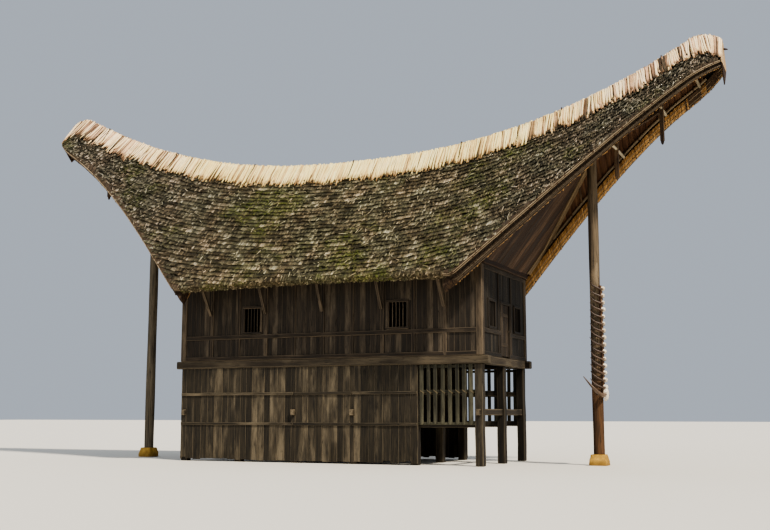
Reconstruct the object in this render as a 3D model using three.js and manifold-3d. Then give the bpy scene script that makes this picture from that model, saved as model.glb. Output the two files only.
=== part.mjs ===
import * as THREE from "three";
import { mergeVertices } from "three/addons/utils/BufferGeometryUtils.js";
import Module from "manifold-3d";

const wasm = await Module();
wasm.setup();

// A tongkonan: a boat-roofed timber house on piles, in millimetres.
// X runs across the house, Y along the ridge with the front at -Y, and Z up from the ground.

// Fit between neighbouring pieces and against the curved roof, the excess trimmed off there,
// the bite of one fused timber into the next, and how far a cut runs past a face
const GAP = 0.3;
const ROOF_GAP = 0.6;
const TRIM = 20;
const BITE = 1;
const THROUGH = 40;

// Roof: the ridge rises from mid length to both tips, and rounds over at each tip
const RIDGE_MID_Z = 9000;
const RIDGE_RISE = 2500;
const RIDGE_RISE_Y = 10210;
const RIDGE_POWER = 2.3;
const TIP_Y = 10900;
const DROOP_FROM_Y = 10000;
const DROOP = 620;
const CAP_RISE = 110;
const CAP_REACH = 730;
const CAP_THICK = 62;
const CAP_CROWN = 90;
const CAP_MARGIN = 70;

// Run of the slope for each unit of fall, over the body and at the tips
const BODY_RUN = 0.75;
const TIP_RUN = 0.87;

// Eave line and the verge that climbs from the eave corner to the tip, as (distance from mid length, height)
const EAVE_Y = 4300;
const EAVE_MID_Z = 5070;
const EAVE_DIP = 100;
const EAVE_STEPS = 3;
const VERGE_STEPS = 12;
const VERGE = [
  [EAVE_Y, EAVE_MID_Z - EAVE_DIP],
  [5000, 5640],
  [6200, 6800],
  [7600, 8090],
  [9200, 9420],
  [TIP_Y, 10580],
];

// Thickness of the roof layers square to the slope, over the body and at the tips
const THATCH = [240, 150];
const SOFFIT = 45;
const VERGE_DEPTH = [250, 110];
const VERGE_WIDTH = [460, 340];
const VERGE_INSET = 10;
const VERGE_SETBACK = 40;
const VERGE_TAIL = 230;
const BEAM_HALF = 80;
const BEAM_DEPTH = [200, 140];
const BEAM_END = 60;
const TIP_BOARD = { low: 10030, thick: 30, waist: 0.75, waistDrop: 160 };

// Body of the house
const BODY_X = 2000;
const BODY_Y = 4720;
const WALL = 60;
const CORNER = 180;
const CORNER_PROUD = 30;
const FLOOR_Z = 2900;
const DECK = 50;
const WALL_TOP_Z = 5350;
const PROUD = 25;
const STUD_WIDTH = 100;
const STUD_PITCH = 920;
const WALL_RAIL = 120;
const RAIL_UNDER_WINDOW = 200;
const SILL = { inner: 1800, outer: 2020, height: 220, overrun: 180 };
const END_SILL = { inner: 4580, outer: 4760 };
const PLATE_WIDTH = 160;

// Windows and the front door
const WINDOW = { width: 520, height: 680, sill: 3720 };
const DOOR = { width: 760, height: 1450, setback: 10 };
const SIDE_WINDOWS_Y = [-2300, 2300];
const END_WINDOWS_X = [-1150, 1150];
const FRAME = 70;

// Piles under the floor, the rails along each row and the ties through each line
const PILE = 220;
const PILE_X = 1850;
const PILE_Y = [-4600, -2760, -920, 920, 2760, 4600];
const RAIL = 70;
const RAILS_Z = [[1000, 1150], [1860, 2000]];
const TIE = { width: 110, height: 170, low: 1320, overrun: 120 };
const TIES_Y = [-4600, -920, 920, 4600];

// Screens between and before the piles
const SLAT = { width: 110, thick: 30, count: 8, low: 1070 };
const SLAT_RAIL = 70;
const SLAT_RAILS_Z = [1070, 1925, 2585];
const BOARD = 30;
const BOARD_LOW_Z = 40;

// Gable posts, their plinths and the trophy horns
const POST_Y = 7300;
const POST_RADIUS = 150;
const POST_TOP_RADIUS = 130;
const POST_SIDES = 14;
const PLINTH = { half: 250, top: 200, height: 290, shoulder: 110 };
const HORN_PLANK = { thick: 40, half: 80, margin: 90 };
const HORNS = { count: 16, low: 1880, pitch: 190, lowest: 1.9, taper: 0.02 };
const HORN = { sweep: 290, rise: 250, back: 140, dip: 20, bow: 5, root: 60, tip: 10, thinning: 1.3 };
const HORN_STEPS = 6;
const HORN_SIDES = 6;

// Leaning gable: its foot on the end wall and its knee just inside the gable post, as (distance, height)
const GABLE_FOOT = [4720, 5350];
const GABLE_KNEE = [7110, 8450];
const GABLE_THICK = 50;
const GABLE_CHORD = { project: 80, height: 180 };

// Hanging posts under each overhang, as (distance from mid length, lower end), and the ties between verges
const HANGERS = [[8000, 7800], [9250, 8670]];
const HANGER = 110;
const VERGE_TIE = { width: 90, top: 0.4, bottom: 0.95, fit: 3 };
const LONG_TIE = { low: 8560, high: 9560, width: 80, depth: 120, tenon: 10 };

// Eave purlin and its struts
const PURLIN = { radius: 60, z: 5060, end: 3840, sides: 8 };
const STRUT = { width: 80, foot: 4230, head: 5450, bed: 10 };
const STRUTS_Y = [-3680, -1840, 0, 1840, 3680];
const EAVE_FRAME_STEPS = 8;

const house = new THREE.Group();
house.name = "tongkonan";

// Materials
function material(color, roughness) {
  return new THREE.MeshStandardMaterial({ color, roughness, metalness: 0 });
}
const darkTimber = material(0x35291f, 0.8);
const greyTimber = material(0x6d6250, 0.85);
const redTimber = material(0x5a3020, 0.75);
const thatchBamboo = material(0x6a5f42, 0.95);
const ridgeBamboo = material(0xd8c19c, 0.85);
const vergeBamboo = material(0x9c7248, 0.85);
const soffitBoard = material(0x5d3b26, 0.8);
const plinthStone = material(0xc89058, 0.9);
const horn = material(0x4d4238, 0.6);

// Solids
function solidOf(geometry) {
  const bare = new THREE.BufferGeometry();
  bare.setAttribute("position", geometry.getAttribute("position"));
  bare.setIndex(geometry.getIndex());
  const merged = mergeVertices(bare, 1e-3);
  const vertProperties = new Float32Array(merged.getAttribute("position").array);
  const triVerts = new Uint32Array(merged.getIndex().array);
  return new wasm.Manifold(new wasm.Mesh({ numProp: 3, vertProperties, triVerts }));
}

function join(...solids) {
  return solids.flat().reduce((sum, next) => sum.add(next));
}

function cut(solid, ...tools) {
  return tools.flat().reduce((rest, tool) => rest.subtract(tool), solid);
}

// A box between two opposite corners, given in any order.
function box(a, b) {
  const size = a.map((value, i) => Math.abs(value - b[i]));
  const middle = a.map((value, i) => (value + b[i]) / 2);
  return solidOf(new THREE.BoxGeometry(...size).translate(...middle));
}

// A closed skin through rings of the same number of points, each seen whole from its first point.
function loft(rings) {
  const count = rings[0].length;
  const points = rings.flat().map((point) => new THREE.Vector3(...point));
  const last = (rings.length - 1) * count;
  const faces = [];
  for (let i = 1; i < count - 1; i += 1) {
    faces.push([0, i + 1, i], [last, last + i, last + i + 1]);
  }
  for (let start = 0; start < last; start += count) {
    for (let i = 0; i < count; i += 1) {
      const next = (i + 1) % count;
      faces.push([start + i, start + next, start + count + next]);
      faces.push([start + i, start + count + next, start + count + i]);
    }
  }
  const volume = faces.reduce((sum, [a, b, c]) => {
    return sum + points[a].dot(points[b].clone().cross(points[c]));
  }, 0);
  const outward = volume < 0 ? faces.map(([a, b, c]) => [a, c, b]) : faces;
  const geometry = new THREE.BufferGeometry().setFromPoints(points);
  geometry.setIndex(outward.flat());
  return solidOf(geometry);
}

// A flat outline in X and Z, carried along Y.
function alongY(outline, from, to) {
  return loft([from, to].map((y) => outline.map(([x, z]) => [x, y, z])));
}

// A squared timber from one point to another.
function timber(from, to, width, depth) {
  const start = new THREE.Vector3(...from);
  const run = new THREE.Vector3(...to).sub(start);
  const along = run.clone().normalize();
  const upright = Math.abs(along.z) > 0.99 ? new THREE.Vector3(0, 1, 0) : new THREE.Vector3(0, 0, 1);
  const side = upright.clone().cross(along).normalize();
  const turn = new THREE.Matrix4().makeBasis(side, along.clone().cross(side), along);
  const geometry = new THREE.BoxGeometry(width, depth, run.length());
  geometry.applyMatrix4(turn);
  const middle = start.addScaledVector(run, 0.5);
  return solidOf(geometry.translate(middle.x, middle.y, middle.z));
}

// A round timber standing upright.
function roundPost(x, y, bottom, top, radius, topRadius, sides) {
  const geometry = new THREE.CylinderGeometry(topRadius, radius, top - bottom, sides);
  geometry.rotateX(Math.PI / 2);
  return solidOf(geometry.translate(x, y, (top + bottom) / 2));
}

function place(name, solid, finish) {
  const shape = solid.getMesh();
  const geometry = new THREE.BufferGeometry();
  geometry.setAttribute("position", new THREE.BufferAttribute(shape.vertProperties, 3));
  geometry.setIndex(new THREE.BufferAttribute(shape.triVerts, 1));
  geometry.computeVertexNormals();
  const mesh = new THREE.Mesh(geometry, finish);
  mesh.name = name;
  house.add(mesh);
}

// Roof form
function shareToTip(y) {
  return THREE.MathUtils.clamp((Math.abs(y) - EAVE_Y) / (TIP_Y - EAVE_Y), 0, 1);
}

function between([body, tip], y) {
  return THREE.MathUtils.lerp(body, tip, shareToTip(y));
}

function ridgeTop(y) {
  const distance = Math.abs(y);
  const droop = Math.max(0, distance - DROOP_FROM_Y) / (TIP_Y - DROOP_FROM_Y);
  return RIDGE_MID_Z + RIDGE_RISE * (distance / RIDGE_RISE_Y) ** RIDGE_POWER - DROOP * droop ** 2;
}

function slopeRun(y) {
  return between([BODY_RUN, TIP_RUN], y);
}

function thatchApex(y) {
  return ridgeTop(y) - CAP_RISE;
}

// Height above the ground of a layer of the roof, at a place in plan and a depth square to the slope.
function layerZ(x, y, depth) {
  const run = slopeRun(y);
  return thatchApex(y) - Math.abs(x) / run - depth * Math.hypot(1, 1 / run);
}

function soffitZ(x, y) {
  return layerZ(x, y, between(THATCH, y) + SOFFIT);
}

// A point of a roof section: along the slope from its lower edge, and down square to it.
function slopePoint(station, side, along, depth) {
  const run = slopeRun(station.y);
  const slant = Math.hypot(1, run);
  const edge = run * (thatchApex(station.y) - station.z);
  const x = edge - (along * run + depth) / slant;
  const z = station.z + (along - depth * run) / slant;
  return [side * x, station.y, z];
}

function apexPoint(station, side, depth, seam) {
  const z = layerZ(0, station.y, depth) - seam / slopeRun(station.y);
  return [side * seam, station.y, z];
}

function eaveStations() {
  const stations = [];
  for (let i = -EAVE_STEPS; i <= EAVE_STEPS; i += 1) {
    const share = i / EAVE_STEPS;
    stations.push({ y: share * EAVE_Y, z: EAVE_MID_Z - EAVE_DIP * share * share });
  }
  return stations;
}

function vergeStations(end) {
  const curve = new THREE.SplineCurve(VERGE.map(([y, z]) => new THREE.Vector2(y, z)));
  return curve.getPoints(VERGE_STEPS).map((point) => ({ y: end * point.x, z: point.y }));
}

const rearVerge = vergeStations(1);
const frontVerge = vergeStations(-1).reverse();
const roofStations = [...frontVerge, ...eaveStations().slice(1, -1), ...rearVerge];

function thatchDepth(y) {
  return between(THATCH, y);
}

function soffitDepth(y) {
  return thatchDepth(y) + SOFFIT;
}

// One slope of the roof down to a depth, with its upper end at a seam beside the middle of the house.
function slope(side, depthAt, rise, seam) {
  return loft(roofStations.map((station) => {
    const depth = depthAt(station.y);
    return [
      apexPoint(station, side, -rise, seam),
      slopePoint(station, side, -rise, -rise),
      slopePoint(station, side, -rise, depth),
      apexPoint(station, side, depth, seam),
    ];
  }));
}

// The space that a slope takes up with the fit round it, to trim what lies against it.
function slopeClearance(side, depthAt) {
  return slope(side, (y) => depthAt(y) + ROOF_GAP, ROOF_GAP, -GAP / 2);
}

// The stacked strip under the lower edge of a slope, or with a fit the room that it takes up.
function edgeStrip(stations, side, fit) {
  return loft(stations.map((station) => {
    const top = thatchDepth(station.y) - TRIM;
    const bottom = thatchDepth(station.y) + between(VERGE_DEPTH, station.y) + fit;
    const width = between(VERGE_WIDTH, station.y) + fit;
    return [
      slopePoint(station, side, VERGE_INSET - fit, top),
      slopePoint(station, side, width, top),
      slopePoint(station, side, width, bottom),
      slopePoint(station, side, VERGE_SETBACK - fit, bottom),
    ];
  }));
}

// The border of a slope that the soffit boards stop short of.
function edgeRoom(side) {
  return loft(roofStations.map((station) => {
    const bottom = soffitDepth(station.y) + between(VERGE_DEPTH, station.y);
    const width = between(VERGE_WIDTH, station.y) + TRIM;
    return [
      slopePoint(station, side, -TRIM, -TRIM),
      slopePoint(station, side, width, -TRIM),
      slopePoint(station, side, width, bottom),
      slopePoint(station, side, -TRIM, bottom),
    ];
  }));
}

// The verge strip runs on a little past the eave corner.
function vergeTail(stations) {
  const [corner, next] = stations;
  const climb = (next.z - corner.z) / (next.y - corner.y);
  const y = corner.y - Math.sign(corner.y) * VERGE_TAIL;
  return { y, z: corner.z + climb * (y - corner.y) };
}

function capRing(station) {
  const { y } = station;
  const run = slopeRun(y);
  const edge = run * (thatchApex(y) - station.z) - CAP_MARGIN;
  const foot = Math.min((CAP_REACH * run) / Math.hypot(1, run), edge);
  const inner = (x) => layerZ(x, y, TRIM);
  const outer = (x) => layerZ(x, y, -CAP_THICK);
  return [
    [0, y, inner(0)],
    [foot, y, inner(foot)],
    [foot, y, outer(foot)],
    [CAP_CROWN, y, outer(CAP_CROWN)],
    [0, y, ridgeTop(y)],
    [-CAP_CROWN, y, outer(CAP_CROWN)],
    [-foot, y, outer(foot)],
    [-foot, y, inner(foot)],
  ];
}

function beamBottom(y) {
  return soffitZ(BEAM_HALF, y) - between(BEAM_DEPTH, y);
}

function beamRing(station) {
  const { y } = station;
  return [
    [0, y, soffitZ(0, y) + TRIM],
    [BEAM_HALF, y, soffitZ(BEAM_HALF, y) + TRIM],
    [BEAM_HALF, y, beamBottom(y)],
    [-BEAM_HALF, y, beamBottom(y)],
    [-BEAM_HALF, y, soffitZ(BEAM_HALF, y) + TRIM],
  ];
}

const SIDES = [["left", -1], ["right", 1]];
const ENDS = [["front", -1], ["rear", 1]];

// Roof layers
const thatchRoom = SIDES.map(([, side]) => slopeClearance(side, thatchDepth));
const roofRoom = SIDES.map(([, side]) => slopeClearance(side, soffitDepth));

for (const [name, side] of SIDES) {
  place(`${name}_roof_thatch`, slope(side, thatchDepth, 0, GAP / 2), thatchBamboo);
  const boards = slope(side, soffitDepth, 0, GAP / 2);
  place(`${name}_soffit_boards`, cut(boards, thatchRoom, edgeRoom(side)), soffitBoard);
}
place("ridge_cap", cut(loft(roofStations.map(capRing)), thatchRoom), ridgeBamboo);

const beamStations = roofStations.map(({ y }) => {
  return { y: THREE.MathUtils.clamp(y, -TIP_Y + BEAM_END, TIP_Y - BEAM_END) };
});
place("ridge_beam", cut(loft(beamStations.map(beamRing)), roofRoom), darkTimber);

const stripRoom = [];
for (const [end, direction] of ENDS) {
  const verge = vergeStations(direction);
  const strip = [vergeTail(verge), ...verge];
  for (const [name, side] of SIDES) {
    place(`${end}_${name}_verge`, cut(edgeStrip(strip, side, 0), thatchRoom), vergeBamboo);
    stripRoom.push(edgeStrip(strip, side, ROOF_GAP));
  }
}

// Pointed boards that close the tips of the roof
for (const [end, direction] of ENDS) {
  const { low, thick, waist, waistDrop } = TIP_BOARD;
  const [half, , edge] = slopePoint({ y: direction * TIP_Y, z: VERGE.at(-1)[1] }, 1, 0, 0);
  const outline = [
    [0, low],
    [half * waist, edge - waistDrop],
    [half, edge],
    [0, thatchApex(TIP_Y)],
    [-half, edge],
    [-half * waist, edge - waistDrop],
  ];
  const face = direction * (TIP_Y + GAP);
  place(`${end}_tip_board`, alongY(outline, face, face + direction * thick), soffitBoard);
}

// Gable posts on their plinths
function plinth(direction) {
  const { half, top, height, shoulder } = PLINTH;
  const y = direction * POST_Y;
  const corners = [[-1, -1], [1, -1], [1, 1], [-1, 1]];
  const ring = (reach, z) => corners.map(([a, b]) => [a * reach, y + b * reach, z]);
  return loft([ring(half, 0), ring(half, shoulder), ring(top, height)]);
}

function gablePost(direction, fit) {
  const y = direction * POST_Y;
  const head = Math.min(beamBottom(y - POST_TOP_RADIUS), beamBottom(y + POST_TOP_RADIUS)) - GAP;
  const foot = PLINTH.height + GAP;
  return roundPost(0, y, foot, head, POST_RADIUS + fit, POST_TOP_RADIUS + fit, POST_SIDES);
}

for (const [end, direction] of ENDS) {
  place(`${end}_post_plinth`, plinth(direction), plinthStone);
  place(`${end}_gable_post`, gablePost(direction, 0), end === "front" ? redTimber : greyTimber);
}

// Trophy horns, pair above pair on a plank that is fixed to the front post and bowed back round it
const hornFace = -POST_Y - POST_RADIUS - HORN_PLANK.thick;

function hornRing(centre, tangent, radius) {
  const across = new THREE.Vector3(0, 0, 1).cross(tangent).normalize();
  const up = tangent.clone().cross(across).normalize();
  const ring = [];
  for (let i = 0; i < HORN_SIDES; i += 1) {
    const angle = (i / HORN_SIDES) * 2 * Math.PI;
    const point = centre.clone();
    point.addScaledVector(across, radius * Math.cos(angle));
    point.addScaledVector(up, radius * Math.sin(angle));
    ring.push(point.toArray());
  }
  return ring;
}

function hornAt(side, z, size) {
  const { sweep, rise, back, dip, bow, root, tip, thinning } = HORN;
  const curve = new THREE.CatmullRomCurve3([
    new THREE.Vector3((side * root) / 2, hornFace, z),
    new THREE.Vector3(side * sweep * size * 0.7, hornFace - bow, z - dip),
    new THREE.Vector3(side * sweep * size, -POST_Y, z + rise * size * 0.35),
    new THREE.Vector3(side * sweep * size * 0.9, -POST_Y + back * size, z + rise * size),
  ]);
  const rings = [];
  for (let i = 0; i <= HORN_STEPS; i += 1) {
    const share = i / HORN_STEPS;
    const radius = THREE.MathUtils.lerp(root, tip, share ** thinning) * Math.sqrt(size);
    rings.push(hornRing(curve.getPoint(share), curve.getTangent(share), radius));
  }
  return loft(rings);
}

function hornStack() {
  const { count, low, pitch, lowest, taper } = HORNS;
  const { half, margin } = HORN_PLANK;
  const top = low + (count - 1) * pitch;
  const back = -POST_Y - POST_TOP_RADIUS / 2;
  const pieces = [box([-half, back, low - margin], [half, hornFace, top + margin])];
  for (let i = 0; i < count; i += 1) {
    const size = i === 0 ? lowest : 1 - taper * i;
    for (const side of [-1, 1]) {
      pieces.push(hornAt(side, low + i * pitch, size));
    }
  }
  return cut(join(pieces), gablePost(-1, GAP));
}
place("buffalo_horns", hornStack(), horn);

// Hanging posts under each overhang, with ties across from verge to verge and a long tie to the post
function vergeAt(y) {
  const i = roofStations.findIndex((station) => station.y >= y);
  const [before, after] = [roofStations[i - 1], roofStations[i]];
  const share = (y - before.y) / (after.y - before.y);
  return { y, z: THREE.MathUtils.lerp(before.z, after.z, share) };
}

function vergeTie(y) {
  const { width, top, bottom, fit } = VERGE_TIE;
  const station = vergeAt(y);
  const inset = between(VERGE_WIDTH, y) + fit;
  const depth = (share) => thatchDepth(y) + share * between(VERGE_DEPTH, y);
  const [highX, , highZ] = slopePoint(station, 1, inset, depth(top));
  const [lowX, , lowZ] = slopePoint(station, 1, inset, depth(bottom));
  const outline = [[-lowX, lowZ], [lowX, lowZ], [highX, highZ], [-highX, highZ]];
  return alongY(outline, y - width / 2, y + width / 2);
}

function overhangFrame(direction) {
  const { low, high, width, depth, tenon } = LONG_TIE;
  const inner = direction * (POST_Y + POST_TOP_RADIUS - tenon);
  const outer = direction * HANGERS.at(-1)[0];
  const pieces = [timber([0, inner, low], [0, outer, high], width, depth)];
  for (const [distance, foot] of HANGERS) {
    const y = direction * distance;
    const head = beamBottom(direction * (distance - HANGER / 2)) - GAP;
    pieces.push(box([-HANGER / 2, y - HANGER / 2, foot], [HANGER / 2, y + HANGER / 2, head]));
    pieces.push(vergeTie(y));
  }
  return cut(join(pieces), gablePost(direction, 2 * GAP), roofRoom, stripRoom);
}
for (const [end, direction] of ENDS) {
  place(`${end}_overhang_frame`, overhangFrame(direction), darkTimber);
}

// Piles, with rails fixed along each row and ties through each line of piles
const PILE_TOP_Z = FLOOR_Z - SILL.height;

function tieBox(y, fit) {
  const { width, height, low, overrun } = TIE;
  const reach = PILE_X + PILE / 2 + overrun;
  const half = width / 2 + fit;
  return box([-reach, y - half, low - fit], [reach, y + half, low + height + fit]);
}

const tieRoom = TIES_Y.map((y) => tieBox(y, GAP));

function pileRow(x) {
  const top = PILE_TOP_Z - GAP;
  const half = PILE / 2;
  const piles = PILE_Y.map((y) => box([x - half, y - half, 0], [x + half, y + half, top]));
  const rails = RAILS_Z.map(([low, high]) => {
    return box([x - RAIL / 2, PILE_Y[0], low], [x + RAIL / 2, PILE_Y.at(-1), high]);
  });
  return cut(join(piles, rails), tieRoom);
}
for (const [name, x] of [["left", -PILE_X], ["middle", 0], ["right", PILE_X]]) {
  place(`${name}_pile_row`, pileRow(x), darkTimber);
}
TIES_Y.forEach((y, i) => place(`cross_tie_${i + 1}`, tieBox(y, 0), greyTimber));

// Slatted screens in the front bay
function slatScreen(side) {
  const outer = side * (PILE_X + PILE / 2);
  const face = outer - side * SLAT.thick;
  const back = side * (PILE_X + RAIL / 2 + GAP);
  const from = PILE_Y[0] + PILE / 2 + GAP;
  const to = PILE_Y[1] - PILE / 2 - GAP;
  const pitch = (to - from) / SLAT.count;
  const half = SLAT.width / 2;
  const pieces = SLAT_RAILS_Z.map((low) => {
    return box([face + side * BITE, from, low], [back, to, low + SLAT_RAIL]);
  });
  for (let i = 0; i < SLAT.count; i += 1) {
    const middle = from + pitch * (i + 0.5);
    pieces.push(box([outer, middle - half, SLAT.low], [face, middle + half, PILE_TOP_Z - GAP]));
  }
  return join(pieces);
}

// Boarded screens before the other bays
function boardScreen(side) {
  const face = side * (PILE_X + PILE / 2 + GAP);
  const from = PILE_Y[1] - PILE / 2;
  const to = PILE_Y.at(-1) + PILE / 2;
  return cut(box([face, from, BOARD_LOW_Z], [face + side * BOARD, to, PILE_TOP_Z - GAP]), tieRoom);
}
for (const [name, side] of SIDES) {
  place(`${name}_slat_screen`, slatScreen(side), greyTimber);
  place(`${name}_board_screen`, boardScreen(side), darkTimber);
}

// Sill beams on the piles and the floor between the walls
for (const [name, side] of SIDES) {
  const reach = BODY_Y + SILL.overrun;
  const beam = box([side * SILL.inner, -reach, PILE_TOP_Z], [side * SILL.outer, reach, FLOOR_Z]);
  place(`${name}_sill_beam`, beam, greyTimber);
}
for (const [end, direction] of ENDS) {
  const reach = SILL.inner - GAP;
  const inner = direction * END_SILL.inner;
  const beam = box([-reach, inner, PILE_TOP_Z], [reach, direction * END_SILL.outer, FLOOR_Z]);
  place(`${end}_sill_beam`, beam, greyTimber);
}

// Inner faces of the corner posts, which the floor and the end walls stop short of
const cornerX = BODY_X + CORNER_PROUD - CORNER;
const cornerY = BODY_Y + CORNER_PROUD - CORNER;
const deckTop = FLOOR_Z + DECK;

function floorDeck() {
  const low = FLOOR_Z + GAP;
  const wideX = BODY_X - WALL - GAP;
  const longY = BODY_Y - WALL - GAP;
  return join(
    box([-wideX, -cornerY + GAP, low], [wideX, cornerY - GAP, deckTop]),
    box([-cornerX + GAP, -longY, low], [cornerX - GAP, longY, deckTop]),
  );
}
place("floor_deck", floorDeck(), greyTimber);

// Walls: a panel framed by rails, drawn as (along, out from the middle of the house, height)
const wallLow = FLOOR_Z + GAP;
const wallRailsZ = [wallLow, WINDOW.sill - RAIL_UNDER_WINDOW, WALL_TOP_Z - WALL_RAIL];

function windowAt(middle) {
  const { width, height, sill } = WINDOW;
  return { middle, half: width / 2, low: sill, high: sill + height };
}

function framedWall(block, out, reach, openings) {
  const inner = out - WALL;
  const skin = out + PROUD;
  const panel = block([-reach, inner, wallLow], [reach, out, WALL_TOP_Z]);
  const rails = wallRailsZ.map((low) => block([-reach, inner, low], [reach, skin, low + WALL_RAIL]));
  const frames = openings.map(({ middle, half, low, high }) => {
    const foot = Math.max(low - FRAME, wallLow);
    return block([middle - half - FRAME, inner, foot], [middle + half + FRAME, skin, high + FRAME]);
  });
  const holes = openings.map(({ middle, half, low, high }) => {
    return block([middle - half, inner - THROUGH, low], [middle + half, skin + THROUGH, high]);
  });
  return { solid: join(panel, rails, frames), holes };
}

// The side walls also carry the studs and the four corner posts.
function sideWall(side) {
  const block = (a, b) => box([side * a[1], a[0], a[2]], [side * b[1], b[0], b[2]]);
  const { solid, holes } = framedWall(block, BODY_X, cornerY, SIDE_WINDOWS_Y.map(windowAt));
  const pieces = [solid];
  const studs = Math.floor(cornerY / STUD_PITCH);
  for (let i = -studs; i <= studs; i += 1) {
    const low = [i * STUD_PITCH - STUD_WIDTH / 2, BODY_X - WALL, wallLow];
    const high = [i * STUD_PITCH + STUD_WIDTH / 2, BODY_X + PROUD, WALL_TOP_Z];
    pieces.push(block(low, high));
  }
  const out = BODY_X + CORNER_PROUD;
  for (const end of [-1, 1]) {
    const low = [end * cornerY, out - CORNER, wallLow];
    pieces.push(block(low, [end * (BODY_Y + CORNER_PROUD), out, WALL_TOP_Z]));
  }
  return cut(join(pieces), holes);
}
for (const [name, side] of SIDES) {
  place(`${name}_wall`, sideWall(side), darkTimber);
}

const doorway = { middle: 0, half: DOOR.width / 2, low: deckTop, high: deckTop + DOOR.height };

function endWall(direction, openings) {
  const block = (a, b) => box([a[0], direction * a[1], a[2]], [b[0], direction * b[1], b[2]]);
  const { solid, holes } = framedWall(block, BODY_Y, cornerX - GAP, openings);
  return cut(solid, holes);
}
const endWindows = END_WINDOWS_X.map(windowAt);
place("front_wall", endWall(-1, [...endWindows, doorway]), darkTimber);
place("rear_wall", endWall(1, endWindows), darkTimber);

function doorLeaf() {
  const half = doorway.half - GAP;
  const outer = -BODY_Y + DOOR.setback;
  return box([-half, -BODY_Y + WALL, doorway.low + GAP], [half, outer, doorway.high - GAP]);
}
place("front_door", doorLeaf(), greyTimber);

// Gable walls that lean out from the end walls to the gable posts, closed up to the soffit and ridge beam
const [footY, footZ] = GABLE_FOOT;
const [kneeY, kneeZ] = GABLE_KNEE;
const gableLean = Math.atan2(kneeY - footY, kneeZ - footZ);
const gableBack = footY - GABLE_THICK / Math.cos(gableLean);

// All the space below the middle of the thatch, out to the corner posts.
function spaceUnderRoof() {
  const reach = BODY_X + CORNER_PROUD;
  return loft(roofStations.map(({ y }) => {
    const depth = thatchDepth(y) / 2;
    return [
      [0, y, layerZ(0, y, depth)],
      [reach, y, layerZ(reach, y, depth)],
      [reach, y, 0],
      [-reach, y, 0],
      [-reach, y, layerZ(reach, y, depth)],
    ];
  }));
}

function gableWall(direction) {
  const half = BODY_X + CORNER_PROUD;
  const low = footZ + GAP;
  const top = soffitZ(0, kneeY) + TRIM;
  const profile = [
    [gableBack, low],
    [footY, low],
    [kneeY, kneeZ],
    [kneeY - GABLE_THICK, kneeZ + GABLE_THICK * Math.tan(gableLean / 2)],
  ];
  const leaning = loft([-half, half].map((x) => profile.map(([y, z]) => [x, direction * y, z])));
  const upright = box([-half, direction * (kneeY - GABLE_THICK), kneeZ], [half, direction * kneeY, top]);
  const chordLow = [-half, direction * (footY - WALL), low];
  const chordHigh = [half, direction * (footY + GABLE_CHORD.project), low + GABLE_CHORD.height];
  const beamHalf = BEAM_HALF + GAP;
  const beamLow = beamBottom(kneeY - GABLE_THICK) - GAP;
  const beamRoom = box(
    [-beamHalf, direction * (kneeY - GABLE_THICK - TRIM), beamLow],
    [beamHalf, direction * (kneeY + TRIM), top + TRIM],
  );
  const gable = join(leaning, upright, box(chordLow, chordHigh)).intersect(spaceUnderRoof());
  return cut(gable, beamRoom, roofRoom, stripRoom);
}
for (const [end, direction] of ENDS) {
  place(`${end}_gable_wall`, gableWall(direction), darkTimber);
}

// Eave frames: the top plate under the soffit, struts out from the wall and the purlin they carry
function plateRing(side, y) {
  const outer = BODY_X + CORNER_PROUD;
  const inner = outer - PLATE_WIDTH;
  const low = WALL_TOP_Z + GAP;
  return [
    [side * outer, y, low],
    [side * inner, y, low],
    [side * inner, y, soffitZ(inner, y) + TRIM],
    [side * outer, y, soffitZ(outer, y) + TRIM],
  ];
}

function purlinX(y) {
  const run = slopeRun(y);
  const clearance = (PURLIN.radius + GAP) * Math.hypot(1, 1 / run);
  return (soffitZ(0, y) - PURLIN.z - clearance) * run;
}

function purlinRing(side, y) {
  const ring = [];
  for (let i = 0; i < PURLIN.sides; i += 1) {
    const angle = ((i + 0.5) / PURLIN.sides) * 2 * Math.PI;
    const x = purlinX(y) + PURLIN.radius * Math.cos(angle);
    ring.push([side * x, y, PURLIN.z + PURLIN.radius * Math.sin(angle)]);
  }
  return ring;
}

function eaveFrame(side) {
  const plateReach = gableBack - GAP;
  const shares = Array.from({ length: EAVE_FRAME_STEPS + 1 }, (_, i) => (2 * i) / EAVE_FRAME_STEPS - 1);
  const pieces = [
    loft(shares.map((share) => plateRing(side, share * plateReach))),
    loft(shares.map((share) => purlinRing(side, share * PURLIN.end))),
  ];
  for (const y of STRUTS_Y) {
    const purlin = [side * purlinX(y), y, PURLIN.z];
    const foot = [side * (BODY_X + PROUD + GAP + STRUT.width / 2), y, STRUT.foot];
    const head = [side * (BODY_X + STRUT.bed), y, STRUT.head];
    pieces.push(timber(foot, purlin, STRUT.width, STRUT.width));
    pieces.push(timber(head, purlin, STRUT.width, STRUT.width));
  }
  return cut(join(pieces), roofRoom);
}
for (const [name, side] of SIDES) {
  place(`${name}_eave_frame`, eaveFrame(side), darkTimber);
}

export default house;
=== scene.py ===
import math

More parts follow.
